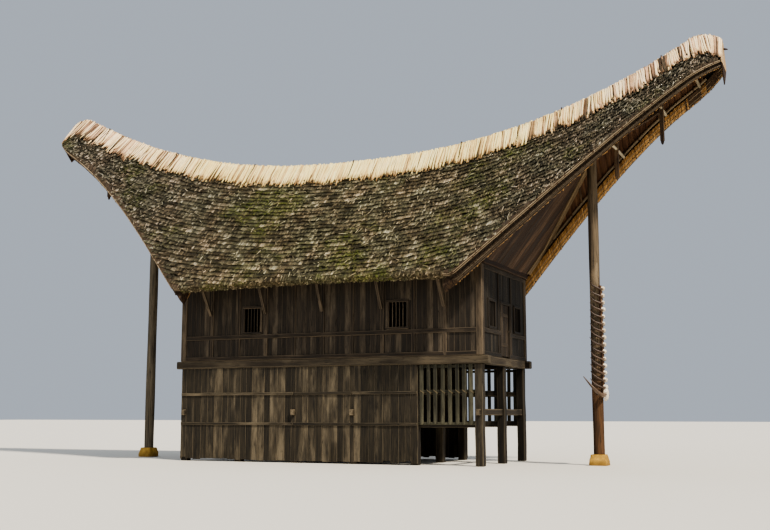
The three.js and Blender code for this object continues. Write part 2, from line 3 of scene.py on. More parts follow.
import bpy
import numpy as np
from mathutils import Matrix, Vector


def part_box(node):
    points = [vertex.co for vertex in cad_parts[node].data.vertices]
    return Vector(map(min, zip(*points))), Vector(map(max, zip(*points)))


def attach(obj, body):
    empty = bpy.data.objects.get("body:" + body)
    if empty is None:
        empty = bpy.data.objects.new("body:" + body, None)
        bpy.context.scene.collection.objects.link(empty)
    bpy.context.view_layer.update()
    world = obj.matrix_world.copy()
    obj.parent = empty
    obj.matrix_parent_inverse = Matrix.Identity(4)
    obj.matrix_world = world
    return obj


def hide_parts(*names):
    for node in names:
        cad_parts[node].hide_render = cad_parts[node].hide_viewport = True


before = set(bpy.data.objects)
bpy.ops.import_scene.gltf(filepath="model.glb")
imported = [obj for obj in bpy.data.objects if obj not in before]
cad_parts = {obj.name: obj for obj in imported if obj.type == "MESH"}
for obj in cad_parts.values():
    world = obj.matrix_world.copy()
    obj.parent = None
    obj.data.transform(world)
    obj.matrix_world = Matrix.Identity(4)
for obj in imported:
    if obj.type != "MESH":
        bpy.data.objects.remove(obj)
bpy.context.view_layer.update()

# A tongkonan: a timber house on piles under a boat-shaped roof of split bamboo. The script follows
# the carpenters from the ground up. Metres, X across the house, Y along the ridge with the front
# at -Y, Z up.
chance = np.random.default_rng(1207)


# Studio: a plain pale floor under soft light, with a warm key from the front and the left. The eye
# stands at a person's height, well in front of the house and out to its left.
EYE = (-28.8, -13.88, 1.37)
EYE_AIM = (-0.2, -1.12, 5.72)
EYE_LENS = 50.0
FLOOR_REACH = 160.0
FLOOR_Z = -0.002
KEY_FROM = (-0.42, -0.80, 1.10)
FILL_FROM = (-0.9, 0.30, 0.30)
BACK_FROM = (0.7, 0.8, 0.9)


def paint(red, green, blue):
    """A colour read as a painter sees it, 0 to 255, in the linear light that shaders use."""
    return tuple(((part / 255 + 0.055) / 1.055) ** 2.4 for part in (red, green, blue)) + (1.0,)


def set_up(name, data, direction=None):
    """A new object in the scene, turned to look along a direction where one is given."""
    thing = bpy.data.objects.new(name, data)
    if direction is not None:
        thing.rotation_euler = direction.to_track_quat("-Z", "Y").to_euler()
    scene.collection.objects.link(thing)
    return thing


scene = bpy.context.scene
scene.view_settings.look = "AgX - Medium High Contrast"
scene.camera = set_up("eye", bpy.data.cameras.new("eye"), Vector(EYE_AIM) - Vector(EYE))
scene.camera.location = EYE
scene.camera.data.lens = EYE_LENS
for name, origin, strength, spread, tint in (
    ("key", KEY_FROM, 5.2, 5.0, (1.0, 0.93, 0.82)),
    ("fill", FILL_FROM, 0.65, 60.0, (0.92, 0.95, 1.0)),
    ("back", BACK_FROM, 0.45, 60.0, (0.85, 0.92, 1.0)),
):
    lamp = set_up(name, bpy.data.lights.new(name, "SUN"), -Vector(origin)).data
    lamp.energy, lamp.angle, lamp.color = strength, math.radians(spread), tint

scene.world = bpy.data.worlds.new("studio")
scene.world.use_nodes = True
surround = scene.world.node_tree.nodes["Background"].inputs
surround["Color"].default_value = (0.80, 0.88, 1.0, 1.0)
surround["Strength"].default_value = 0.50

floor_mesh = bpy.data.meshes.new("studio_floor")
floor_mesh.from_pydata([(x * FLOOR_REACH, y * FLOOR_REACH, FLOOR_Z) for x, y in
                        ((-1, -1), (1, -1), (1, 1), (-1, 1))], [], [(0, 1, 2, 3)])
floor_paint = bpy.data.materials.new("studio_floor")
floor_paint.use_nodes = True
floor_look = floor_paint.node_tree.nodes["Principled BSDF"].inputs
floor_look["Base Color"].default_value = paint(214, 208, 196)
floor_look["Roughness"].default_value = 0.9
floor_mesh.materials.append(floor_paint)
set_up("studio_floor", floor_mesh)


# Plinths: a rough block of ochre stone under each gable post, upright at the foot and sloped above
# so that rain runs off. It is dressed by hand, so its faces wander and its arrises are rounded.
PLINTH_LEVELS = ((0.0, 1.0), (0.02, 1.01), (0.06, 1.0), (0.11, 0.995), (0.15, 0.95), (0.22, 0.87),
                 (0.275, 0.81))
PLINTH_TOP = 0.77
PLINTH_SIDE_POINTS = 9
PLINTH_ROUGHNESS = 0.006
RELIEF_DEPTH = 0.006


def new_batch():
    return {"points": [], "faces": [], "grain": [], "tone": [], "wear": []}


def add_form(batch, points, faces, grain, tone, wear):
    """Adds points with their faces, given as index arrays that count from the first of them."""
    start = sum(len(part) for part in batch["points"])
    batch["faces"] += [np.asarray(part) + start for part in faces]
    batch["points"].append(points)
    batch["grain"].append(grain)
    batch["tone"].append(np.broadcast_to(tone, len(points)))
    batch["wear"].append(np.broadcast_to(wear, len(points)))


def add_skin(batch, rings, tone=None, wear=0.0):
    """A closed skin through rings of one length, with flat ends. The grain runs from ring to ring."""
    rings = np.asarray(rings, float)
    count, sides, _ = rings.shape
    index = np.arange(count * sides).reshape(count, sides)
    after = np.roll(index, -1, axis=1)
    quads = np.stack([index[:-1], after[:-1], after[1:], index[1:]], axis=-1).reshape(-1, 4)
    ends = [index[:1, ::-1], index[-1:]]
    points = rings.reshape(-1, 3)
    a, b, c, d = (points[quads[:, i]] - points.mean(axis=0) for i in range(4))
    if (np.cross(a, b) * c).sum() + (np.cross(a, c) * d).sum() < 0:
        quads = quads[:, ::-1]
        ends = [part[:, ::-1] for part in ends]
    along, around = (np.append(0, np.cumsum(np.linalg.norm(np.diff(line, axis=0), axis=1)))
                     for line in (rings.mean(axis=1), rings[count // 2]))
    shift = chance.random(3) * 40
    grain = np.stack(np.broadcast_arrays(along[:, None] + shift[0], around + shift[1], shift[2]), axis=-1)
    tone = chance.random() if tone is None else tone
    wear = np.broadcast_to(wear, (count, sides)).reshape(-1)
    add_form(batch, points, [quads, *ends], grain.reshape(-1, 3), tone, wear)


def fit_piece(name, batch, material, slot, *nodes, smooth=40):
    """A piece of the house made of a batch, for the nodes named, smooth over edges below an angle."""
    points = np.concatenate(batch["points"])
    sides = np.concatenate([np.full(len(part), part.shape[1]) for part in batch["faces"]])
    corners = np.concatenate([part.ravel() for part in batch["faces"]])
    mesh = bpy.data.meshes.new(name)
    mesh.vertices.add(len(points))
    mesh.vertices.foreach_set("co", points.ravel())
    mesh.loops.add(len(corners))
    mesh.loops.foreach_set("vertex_index", corners.astype(np.int32))
    mesh.polygons.add(len(sides))
    mesh.polygons.foreach_set("loop_start", (np.cumsum(sides) - sides).astype(np.int32))
    mesh.update(calc_edges=True)
    for kind, form, entry in (("grain", "FLOAT_VECTOR", "vector"), ("tone", "FLOAT", "value"),
                              ("wear", "FLOAT", "value")):
        values = mesh.attributes.new(kind, form, "POINT")
        values.data.foreach_set(entry, np.concatenate(batch[kind]).ravel())
    if smooth is not None:
        mesh.shade_smooth()
        mesh.set_sharp_from_angle(angle=math.radians(smooth))
    mesh.materials.append(material)
    piece = set_up(name, mesh)
    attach(piece, "root")
    if nodes:
        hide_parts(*nodes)


def feed(sockets, values):
    """Links or sets sockets by name."""
    for name, value in values.items():
        if isinstance(value, bpy.types.NodeSocket):
            value.id_data.links.new(value, sockets[name])
        else:
            sockets[name].default_value = value


def add_node(kind, inputs, tree=None, **settings):
    """A shader node in the tree of the sockets that feed it, or in the one named."""
    tree = tree or next(value.id_data for value in inputs.values() if isinstance(value, bpy.types.NodeSocket))
    made = tree.nodes.new("ShaderNode" + kind)
    for name, value in settings.items():
        setattr(made, name, value)
    feed(made.inputs, inputs)
    return made.outputs


def noise(vector, scale, detail=4.0, roughness=0.6):
    inputs = {"Vector": vector, "Scale": scale, "Detail": detail, "Roughness": roughness}
    return add_node("TexNoise", inputs)["Fac"]


def blend(share, first, second, kind="MIX"):
    return add_node("Mix", {0: share, 6: first, 7: second}, data_type="RGBA", blend_type=kind)[2]


def sums(operation, first, second=0.0, third=0.0):
    return add_node("Math", {0: first, 1: second, 2: third}, operation=operation)[0]


def remap(value, low, high, to_low=0.0, to_high=1.0):
    inputs = {"Value": value, "From Min": low, "From Max": high, "To Min": to_low, "To Max": to_high}
    return add_node("MapRange", inputs, interpolation_type="SMOOTHSTEP")["Result"]


def new_material(name, *reads, roughness=0.5, relief=0.0, specular=0.25):
    """A material, and what its nodes read: the place in the house, or a point's grain, its tone, or its wear
    and painted light.
    """
    material = bpy.data.materials.new(name)
    material.use_nodes = True
    tree = material.node_tree
    normal = add_node("Bump", {"Strength": relief, "Distance": RELIEF_DEPTH}, tree)["Normal"]
    feed(tree.nodes["Principled BSDF"].inputs, {"Roughness": roughness, "Specular IOR Level": specular,
                                                "Normal": normal})
    read = [add_node("TexCoord", {}, tree)["Object"] if kind == "place" else
            add_node("Attribute", {}, tree, attribute_name=kind)["Vector" if kind == "grain" else "Fac"]
            for kind in reads]
    return material, *read


def coat(material, colour, height):
    """Lays a colour on a material, and a relief on its bump."""
    feed(material.node_tree.nodes["Principled BSDF"].inputs, {"Base Color": colour})
    feed(material.node_tree.nodes["Bump"].inputs, {"Height": height})


def plinth_ring(centre, reach, level):
    """One level of a plinth: a square with rounded corners, its points pushed about a little."""
    steps = np.linspace(-1, 1, PLINTH_SIDE_POINTS)[:-1]
    turns = [np.stack([np.ones_like(steps), steps], axis=1)]
    for _ in range(3):
        turns.append(np.stack([-turns[-1][:, 1], turns[-1][:, 0]], axis=1))
    flat = np.concatenate(turns)
    corner = np.abs(flat).min(axis=1) ** 6
    flat = flat * (1 - 0.09 * corner)[:, None] * reach
    flat += chance.normal(0, PLINTH_ROUGHNESS, flat.shape)
    return np.column_stack([flat + centre[:2], np.full(len(flat), level)])


plinth_stone, place = new_material("plinth_stone", "place", roughness=0.92, relief=0.7)
stain = noise(place, 5.0)
shade = sums("MULTIPLY_ADD", noise(place, 90.0, 3.0), 0.5, sums("MULTIPLY", stain, 0.6))
ochre = blend(remap(shade, 0.35, 0.75), paint(122, 92, 46), paint(206, 164, 80))
damp = sums("MULTIPLY_ADD", stain, -0.12, add_node("SeparateXYZ", {0: place})["Z"])
coat(plinth_stone, blend(remap(damp, 0.10, -0.03, 0.0, 0.55), ochre, paint(122, 92, 46)), shade)

for end in ("front", "rear"):
    low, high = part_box(f"{end}_post_plinth")
    centre, reach = (low + high) / 2, (high - low).x / 2 - PLINTH_ROUGHNESS
    levels = (*PLINTH_LEVELS, (high.z, PLINTH_TOP))
    rings = [plinth_ring(centre, reach * share, level) for level, share in levels]
    rings.append(rings[-1] * (0.5, 0.5, 1) + (centre.x / 2, centre.y / 2, 0))
    block = new_batch()
    add_skin(block, rings)
    fit_piece(f"{end}_plinth_block", block, plinth_stone, "plinth_stone", f"{end}_post_plinth", smooth=38)


# Gable posts: one straight trunk under each overhang, hewn round, from the plinth to the ridge
# beam. Rain has opened long checks in it, and the front one is still red-brown below the horns.
POST_RADII = (0.150, 0.130)
POST_SIDES = 40
POST_STEP = 0.16
POST_CHECKS = 5
POST_RED_UP_TO = 2.6


def hewn_radius(angles, levels, radius):
    """Radius of a hewn trunk: faint facets, a slow wander and a few long checks cut into it."""
    facets = 0.0025 * np.cos(angles * 9 + 1.3)
    wander = 0.004 * np.sin(levels * 1.7 + angles * 2) + 0.003 * np.sin(levels * 0.8 + angles * 3)
    cut = np.zeros_like(angles)
    for _ in range(POST_CHECKS):
        line = chance.random() * 2 * math.pi + 0.05 * np.sin(levels * 1.3)
        middle, reach = chance.uniform(levels.min(), levels.max()), chance.uniform(1.0, 2.6)
        off = np.abs((angles - line + math.pi) % (2 * math.pi) - math.pi)
        cut += 0.014 * np.exp(-((off / 0.07) ** 2)) * np.exp(-(((levels - middle) / reach) ** 4))
    return radius + facets + wander - cut


def new_group(name, inputs, outputs):
    """An empty shader node group with named sockets, and the sockets to read and to feed in it."""
    tree = bpy.data.node_groups.new(name, "ShaderNodeTree")
    for side, sockets in (("INPUT", inputs), ("OUTPUT", outputs)):
        for label, kind in sockets.items():
            tree.interface.new_socket(label, in_out=side, socket_type="NodeSocket" + kind)
    return tree, tree.nodes.new("NodeGroupInput").outputs, tree.nodes.new("NodeGroupOutput").inputs


def scaled(vector, factors):
    return add_node("VectorMath", {0: vector, 1: factors}, operation="MULTIPLY")[0]


wood_group, given, made = new_group(
    "weathered wood",
    {"Grain": "Vector", "Tone": "Float", "Wear and painted light": "Float", "Deep": "Color", "Face": "Color", "Worn and painted light": "Color",
     "Fibre": "Float"},
    {"Colour": "Color", "Height": "Float", "Roughness": "Float"},
)
fine = add_node("CombineXYZ", {"X": 1.3, "Y": given["Fibre"], "Z": given["Fibre"]})[0]
fibre = noise(scaled(given["Grain"], fine), 1.0, 6.0, 0.68)
cloud = noise(scaled(given["Grain"], (0.8, 3.5, 3.5)), 1.0, 4.0)
check = noise(scaled(given["Grain"], (0.9, 34.0, 34.0)), 1.0, 2.0, 0.4)
check = remap(sums("ABSOLUTE", sums("SUBTRACT", check, 0.5)), 0.022, 0.004)
check = sums("MULTIPLY", check, remap(cloud, 0.38, 0.56))
# Where a point's wear and painted light is high, the worn colour shows. This is real wear on arrises and cut
# ends, and on the gable trunks a painted highlight on the lit side.
bare_and_painted_light = sums("MULTIPLY", given["Wear and painted light"], remap(fibre, 0.35, 0.6, 0.25, 0.9))
bleach = remap(sums("MULTIPLY_ADD", given["Tone"], 0.30, cloud), 0.62, 0.95, 0.0, 0.6)
colour = blend(remap(fibre, 0.30, 0.70), given["Deep"], given["Face"])
colour = blend(sums("MAXIMUM", bare_and_painted_light, bleach), colour, given["Worn and painted light"])
light = sums("MULTIPLY_ADD", given["Tone"], 0.55, 0.70)
light = sums("MULTIPLY", light, remap(check, 0.0, 1.0, 1.0, 0.25))
light = sums("MULTIPLY", light, remap(cloud, 0.25, 0.75, 0.72, 1.15))
grey = add_node("CombineXYZ", {"X": light, "Y": light, "Z": light})[0]
feed(made, {
    "Colour": blend(1.0, colour, grey, "MULTIPLY"),
    "Height": sums("MULTIPLY_ADD", check, -1.4, fibre),
    "Roughness": remap(fibre, 0.3, 0.7, 0.68, 0.92),
})


def wood_finish(name, deep, face, worn_and_painted_light, fibre=38.0, relief=0.55):
    """Old timber: the shared grain with its own colours: deep in the grain, on its face, and where worn, a
    colour that also serves for painted highlights.
    """
    material, grain, tone, wear = new_material(name, "grain", "tone", "wear", relief=relief)
    wood = add_node("Group", {}, material.node_tree, node_tree=wood_group)
    feed(material.node_tree.nodes["Group"].inputs, {
        "Grain": grain, "Tone": tone, "Wear and painted light": wear, "Deep": paint(*deep), "Face": paint(*face),
        "Worn and painted light": paint(*worn_and_painted_light), "Fibre": fibre})
    coat(material, wood["Colour"], wood["Height"])
    feed(material.node_tree.nodes["Principled BSDF"].inputs, {"Roughness": wood["Roughness"]})
    return material


grey_post = wood_finish("grey_post", (40, 35, 29), (98, 88, 73), (148, 136, 114))
red_post = wood_finish("red_post", (38, 31, 25), (88, 75, 60), (144, 126, 100))
shader = red_post.node_tree.nodes["Principled BSDF"].inputs
weathered = shader["Base Color"].links[0].from_socket
height = add_node("SeparateXYZ", {0: add_node("TexCoord", {}, red_post.node_tree)["Object"]})["Z"]
lower = remap(height, POST_RED_UP_TO + 0.7, POST_RED_UP_TO - 1.0, 0.0, 0.8)
feed(shader, {"Base Color": blend(lower, weathered, blend(1.0, weathered, paint(210, 160, 112), "MULTIPLY"))})

for end, finish, slot in (("front", red_post, "red_timber"), ("rear", grey_post, "grey_timber")):
    low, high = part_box(f"{end}_gable_post")
    middle = (low + high) / 2
    levels = np.arange(low.z, high.z, POST_STEP)
    levels[-1] = high.z
    angles, heights = np.meshgrid(np.linspace(0, 2 * math.pi, POST_SIDES, endpoint=False), levels)
    radii = hewn_radius(angles, heights, np.interp(heights, (low.z, high.z), POST_RADII))
    rings = np.stack([radii * np.cos(angles), middle.y + radii * np.sin(angles), heights], axis=-1)
    trunk = new_batch()
    # This wear is a painted highlight: the side of the trunk that faces the key light is painted paler.
    add_skin(trunk, rings, tone=0.55, wear=np.clip(np.cos(angles + 2.2), 0, 1) * 0.5)
    fit_piece(f"{end}_gable_trunk", trunk, finish, slot, f"{end}_gable_post", smooth=50)


# Trophy horns: sixteen pairs of buffalo horns, one pair for each great feast, pegged with their
# bone plates to a plank up the front post. They bow out and back round it; the oldest is widest.
HORN_PAIRS = 16
HORN_LOW = 1.88
HORN_PITCH = 0.19
HORN_WIDEST = 1.9
HORN_TAPER = 0.02
HORN_STEPS = 18
HORN_SIDES = 14
HORN_ROOT = 0.060
HORN_TIP = 0.008
HORN_FLAT = 0.72
HORN_OUT = (0.17, 0.29, 0.26)
HORN_BACK = (0.020, 0.14)
HORN_UP = (-0.02, 0.088, 0.25)
BONE_PLATE = (0.18, 0.15, 0.105)
OLDEST_PLATE_HEIGHT = 0.34
PLATE_SIDES = 16
PLANK = (0.16, 0.12)
PLANK_PROUD = 0.04
PLANK_MARGIN = 0.09


def unit(vectors):
    return vectors / np.linalg.norm(vectors, axis=-1, keepdims=True)


def add_pole(batch, path, radii, sides=12, tone=None, wear=0.0, squash=1.0):
    """A round piece along a path, its ring turned as little as possible from one point to the next."""
    path = np.asarray(path, float)
    tangents = unit(np.gradient(path, axis=0))
    across = np.cross(tangents[0], (0.0, 0.0, 1.0) if abs(tangents[0][2]) < 0.9 else (0.0, 1.0, 0.0))
    turn = np.linspace(0, 2 * math.pi, sides, endpoint=False)
    rings = []
    for point, tangent, radius in zip(path, tangents, np.broadcast_to(radii, len(path))):
        across = unit(across - tangent * (across @ tangent))
        upward = np.cross(across, tangent)
        ring = np.outer(np.cos(turn), across) + squash * np.outer(np.sin(turn), upward)
        rings.append(point + radius * ring)
    add_skin(batch, rings, tone, wear)


def curve_through(controls, count):
    """Points evenly spread over a smooth curve through the controls."""
    controls = np.asarray(controls, float)
    padded = np.vstack([2 * controls[0] - controls[1], controls, 2 * controls[-1] - controls[-2]])
    places = np.linspace(0, len(controls) - 1, count)
    first = np.minimum(places.astype(int), len(controls) - 2)
    t = (places - first)[:, None]
    a, b, c, d = (padded[first + i] for i in range(4))
    return 0.5 * (2 * b + (c - a) * t + (2 * a - 5 * b + 4 * c - d) * t**2 + (3 * b - a - 3 * c + d) * t**3)


def add_bone_plate(batch, centre, width, height, thick):
    """The cleaned forehead between two horns: a low boss, broad above and narrow below."""
    turn = np.linspace(0, 2 * math.pi, PLATE_SIDES, endpoint=False)
    rings = []
    for out, share in ((0.0, 1.0), (0.45, 0.97), (0.8, 0.8), (1.0, 0.45)):
        x = np.cos(turn) * width / 2 * share * (1 + 0.25 * np.sin(turn))
        y = np.full(PLATE_SIDES, centre[1] - out * thick)
        z = np.sin(turn) * height / 2 * share
        rings.append(np.column_stack([centre[0] + x, y, centre[2] + z]))
    add_skin(batch, rings, tone=chance.uniform(0.4, 1.0))


horn_skin, grain, wear = new_material("horn_skin", "grain", "wear", roughness=0.42, relief=0.5, specular=0.45)
streak = noise(scaled(grain, (5.0, 60.0, 60.0)), 1.0, 4.0)
rib = noise(scaled(grain, (55.0, 4.0, 4.0)), 1.0, 2.0)
dark = blend(remap(streak, 0.3, 0.7), paint(26, 19, 16), paint(80, 58, 44))
pale = blend(remap(streak, 0.3, 0.7), paint(112, 88, 66), paint(172, 146, 116))
# Paler horn: real wear, and on the roots a painted sheen.
worn_and_painted_light = sums("MULTIPLY", wear, remap(rib, 0.3, 0.7, 0.7, 1.1))
coat(horn_skin, blend(worn_and_painted_light, dark, pale), sums("MULTIPLY_ADD", streak, 0.4, rib))

bone, place, tone = new_material("bone", "place", "tone", roughness=0.62, relief=0.35, specular=0.35)
pits = noise(place, 42.0, 5.0)
chalk = blend(tone, paint(188, 172, 146), paint(250, 244, 230))
coat(bone, blend(remap(pits, 0.35, 0.6), paint(150, 132, 104), chalk), pits)
horn_plank_wood = wood_finish("horn_plank_wood", (38, 26, 20), (84, 58, 42), (122, 94, 70))


def add_timber(batch, start, end, width, depth, chamfer=0.012, tone=None, bow=0.003, step=0.45,
               facing=(0, 0, 1)):
    """A squared timber with chamfered arrises, hewn by eye: it bows a little and its faces wander."""
    start, end, facing = (np.asarray(part, float) for part in (start, end, facing))
    length = np.linalg.norm(end - start)
    along = (end - start) / length
    side = unit(np.cross(facing if abs(along @ facing) < 0.95 else (0.0, 1.0, 0.0), along))
    upward = np.cross(along, side)
    w, d = width / 2, depth / 2
    c = min(chamfer, 0.35 * w, 0.35 * d)
    i = min(1.8 * c, (w - c) / 2, (d - c) / 2)
    half = [(w, -d + c + i), (w, d - c - i), (w, d - c), (w - c, d), (w - c - i, d), (-w + c + i, d),
            (-w + c, d), (-w, d - c)]
    section = np.array(half + [(-x, -z) for x, z in half])
    inner = max(2, int(round(length / step)) + 1)
    places = np.concatenate([[0], np.linspace(c, length - c, inner), [length]])
    drift = chance.normal(0, bow, (len(places), 2))
    drift[:2] = drift[-2:] = 0
    rings = []
    for at, shift, last in zip(places, drift, [True] + [False] * inner + [True]):
        flat = section * ((1 - c / w, 1 - c / d) if last else (1, 1)) + shift
        flat = flat + (0 if last else chance.normal(0, bow * 0.25, flat.shape))
        rings.append(start + along * at + np.outer(flat[:, 0], side) + np.outer(flat[:, 1], upward))
    wear = np.tile([0.0, 0.0, 1.0, 1.0], (len(places), 4))
    wear[0] = wear[-1] = 1.0
    add_skin(batch, rings, tone, wear)


trophies, plates, plank = new_batch(), new_batch(), new_batch()
low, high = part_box("front_gable_post")
post_y = (low.y + high.y) / 2
face_y = post_y - POST_RADII[0] - PLANK_PROUD
for pair in range(HORN_PAIRS):
    level = HORN_LOW + pair * HORN_PITCH
    size = (1 - HORN_TAPER * pair if pair else HORN_WIDEST) * chance.uniform(0.93, 1.05)
    lift = chance.uniform(-0.02, 0.02)
    for side in (-1, 1):
        sway = chance.uniform(0.93, 1.05)
        path = curve_through([
            (side * HORN_ROOT / 2, face_y, level),
            (side * HORN_OUT[0] * size * sway, face_y + HORN_BACK[0], level + HORN_UP[0]),
            (side * HORN_OUT[1] * size * sway, post_y, level + HORN_UP[1] * size + lift),
            (side * HORN_OUT[2] * size, post_y + HORN_BACK[1] * size, level + HORN_UP[2] * size + lift),
        ], HORN_STEPS)
        # The roots are painted paler, partly worn horn and partly a painted sheen, by an amount that differs
        # from horn to horn.
        sheen = chance.uniform(0.1, 0.8)
        share = np.linspace(0, 1, HORN_STEPS)
        radii = (HORN_ROOT + (HORN_TIP - HORN_ROOT) * share**1.5) * math.sqrt(size)
        radii *= 1 + 0.035 * np.sin(share * 95) * (1 - share) ** 2
        worn_and_painted_light = np.clip(1 - share * 2.6, 0, 1) * sheen + (0.12 * sheen if pair else 0.25)
        add_pole(trophies, path, radii, HORN_SIDES, wear=np.clip(worn_and_painted_light, 0, 1)[:, None], squash=HORN_FLAT)
    spread = math.sqrt(size) * chance.uniform(0.72, 1.05)
    plate = np.array(BONE_PLATE if pair else (BONE_PLATE[0], OLDEST_PLATE_HEIGHT, BONE_PLATE[2]))
    add_bone_plate(plates, (0, face_y + 0.012, level + 0.005), *plate * spread)
plank_y, top = face_y + PLANK[1] / 2, HORN_LOW + (HORN_PAIRS - 1) * HORN_PITCH + PLANK_MARGIN
add_timber(plank, (0, plank_y, HORN_LOW - PLANK_MARGIN), (0, plank_y, top), *PLANK, facing=(0, 1, 0))
fit_piece("buffalo_horn_pairs", trophies, horn_skin, "horn", "buffalo_horns", smooth=60)
fit_piece("horn_bone_plates", plates, bone, "horn", smooth=60)
fit_piece("horn_plank", plank, horn_plank_wood, "horn")


# Piles: three rows of six squared posts carry the floor. Two rails run along each row through
# mortises cut in the piles, and nothing but the joints holds them.
PILES_A_ROW = 6
PILE = 0.22
RAIL_WIDTH = 0.07
RAIL_INSET = 0.02
RAILS_Z = ((1.00, 1.15), (1.86, 2.00))

pile_wood = wood_finish("pile_wood", (22, 19, 15), (54, 47, 37), (86, 77, 62))
for row in ("left", "middle", "right"):
    low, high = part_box(f"{row}_pile_row")
    x = (low.x + high.x) / 2
    stand = new_batch()
    for y in np.linspace(low.y + PILE / 2, high.y - PILE / 2, PILES_A_ROW):
        add_timber(stand, (x, y, low.z), (x, y, high.z), PILE, PILE, chamfer=0.016, bow=0.004)
    for foot, head in RAILS_Z:
        start, end = ((x, y, (foot + head) / 2) for y in (low.y + RAIL_INSET, high.y - RAIL_INSET))
        add_timber(stand, start, end, RAIL_WIDTH, head - foot)
    fit_piece(f"{row}_piles_and_rails", stand, pile_wood, "dark_timber", f"{row}_pile_row")


# Cross ties: heavy beams that pass through the piles from side to side, four along the house.
# Their ends stand out past the outer piles and have weathered pale.
CROSS_TIES = [f"cross_tie_{number}" for number in range(1, 5)]


def add_beam(batch, node, chamfer=0.012):
    """A level timber that fills a node's box."""
    low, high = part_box(node)
    start, end, size = (low + high) / 2, (low + high) / 2, high - low
    way = 0 if size.x > size.y else 1
    start[way], end[way] = low[way], high[way]
    add_timber(batch, start, end, size[1 - way], size.z, chamfer)


tie_wood = wood_finish("tie_wood", (32, 27, 22), (78, 68, 54), (124, 110, 88))
for number, node in enumerate(CROSS_TIES, 1):
    beam = new_batch()
    add_beam(beam, node)
    fit_piece(f"cross_tie_beam_{number}", beam, tie_wood, "grey_timber", node)


# Slatted screens: eight upright slats close the front bay under the floor on each side. Their
# lower ends are rounded off, and they are lashed with rattan to the middle one of three rails.
SIDES = (("left", -1), ("right", 1))
SLATS = 8
SLAT_WIDTH = 0.11
SLAT_THICK = 0.03
SLAT_LOW = 1.07
SLAT_FOOT = ((0.0, 0.45), (0.012, 0.72), (0.03, 0.9), (0.06, 1.0))
SLAT_BODY = ((0.3, 0.98), (0.7, 1.0), (1.0, 0.99))
SLAT_RAIL = (0.045, 0.07)
SLAT_RAIL_IN = 0.055
SLAT_RAILS_Z = (1.105, 1.96, 2.62)
LASHING = 0.0055
LASHING_TURNS = (-0.018, 0.0, 0.018)
LASHING_REACH = (0.036, 0.066, 0.045)

slat_wood = wood_finish("slat_wood", (28, 26, 20), (57, 55, 43), (90, 86, 69), fibre=30.0)
rattan, place = new_material("rattan", "place", roughness=0.7, relief=0.4)
strand = noise(place, 160.0, 2.0)
coat(rattan, blend(strand, paint(66, 55, 40), paint(122, 110, 84)), strand)


def add_slat(batch, x, y, low, high, width, thick):
    """An upright slat with a rounded lower end and faintly domed faces."""
    levels = [(low + up, share) for up, share in SLAT_FOOT]
    levels += [(low + (high - low) * up, share) for up, share in SLAT_BODY]
    lean, _ = chance.normal(0, 0.004, 2)
    rings = []
    for level, share in levels:
        half, deep = width / 2 * share, thick / 2
        edge = [(half, -deep * 0.6), (half, deep * 0.6), (half * 0.8, deep), (0, deep * 1.08),
                (-half * 0.8, deep)]
        edge += [(-a, -b) for a, b in edge]
        rings.append([(x + b, y + a + lean * (level - low), level) for a, b in edge])
    wear = np.tile([0.9, 0.9, 0.3, 0.0, 0.3], (len(levels), 2))
    wear[:len(SLAT_FOOT)] = 1.0
    add_skin(batch, rings, chance.uniform(0.35, 1.0), wear)


for name, side in SIDES:
    low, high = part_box(f"{name}_slat_screen")
    outer = low.x if side < 0 else high.x
    slat_x, rail_x = outer - side * SLAT_THICK / 2, outer - side * SLAT_RAIL_IN
    screen, lashings = new_batch(), new_batch()
    for level in SLAT_RAILS_Z:
        start, end = ((rail_x, y, level) for y in (low.y, high.y))
        add_timber(screen, start, end, *SLAT_RAIL, chamfer=0.006, bow=0.002)
    for number in range(SLATS):
        y = low.y + (high.y - low.y) / SLATS * (number + 0.5) + chance.normal(0, 0.006)
        add_slat(screen, slat_x, y, SLAT_LOW + abs(chance.normal(0, 0.012)), high.z,
                 SLAT_WIDTH * chance.uniform(0.88, 1.06), SLAT_THICK * 0.9)
        for turn in LASHING_TURNS:
            loop = np.linspace(0, 2 * math.pi, 17)
            add_pole(lashings, np.column_stack([
                slat_x - side * 0.016 + LASHING_REACH[0] * np.cos(loop),
                y + LASHING_REACH[1] * np.sin(loop) * (1 + 0.1 * np.cos(loop)),
                SLAT_RAILS_Z[1] + turn + LASHING_REACH[2] * np.sin(loop + turn * 9),
            ]), LASHING, 5)
    fit_piece(f"{name}_slats", screen, slat_wood, "grey_timber", f"{name}_slat_screen")
    fit_piece(f"{name}_slat_lashings", lashings, rattan, "grey_timber", smooth=60)


# Boarded screens: rough upright boards close the other bays down to the ground, each of its own
# width and age, with two battens along them. They stand apart for the ends of the cross ties.
BOARD_WIDTHS = (0.17, 0.27)
BOARD_GAP = 0.003
BOARD_THICK = 0.86
BATTEN = (0.026, 0.075)
BATTEN_OUT = 0.012
BATTENS_Z = (1.08, 1.93)
TIE_HALF = 0.065
TIE_ROOM = 0.006

screen_wood = wood_finish("screen_wood", (26, 23, 18), (68, 60, 47), (116, 104, 84), fibre=30.0)
tie_low, tie_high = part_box(CROSS_TIES[0])
ties_y = [sum(corner.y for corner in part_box(node)) / 2 for node in CROSS_TIES]


def board_edges(low, high, fixed):
    """Edges of boards of uneven width from low to high, with a narrow one at each fixed place."""
    edges, at = [], low
    stops = sorted((y - TIE_HALF, y + TIE_HALF) for y in fixed if low < y - TIE_HALF and y + TIE_HALF < high)
    for stop, restart in [*stops, (high, high)]:
        shares = chance.uniform(*BOARD_WIDTHS, max(1, int(round((stop - at) / np.mean(BOARD_WIDTHS)))))
        cuts = at + np.append(0, np.cumsum(shares)) / shares.sum() * (stop - at)
        edges += [(a, b, False) for a, b in zip(cuts[:-1], cuts[1:])]
        if restart > stop:
            edges.append((stop, restart, True))
        at = restart
    return edges


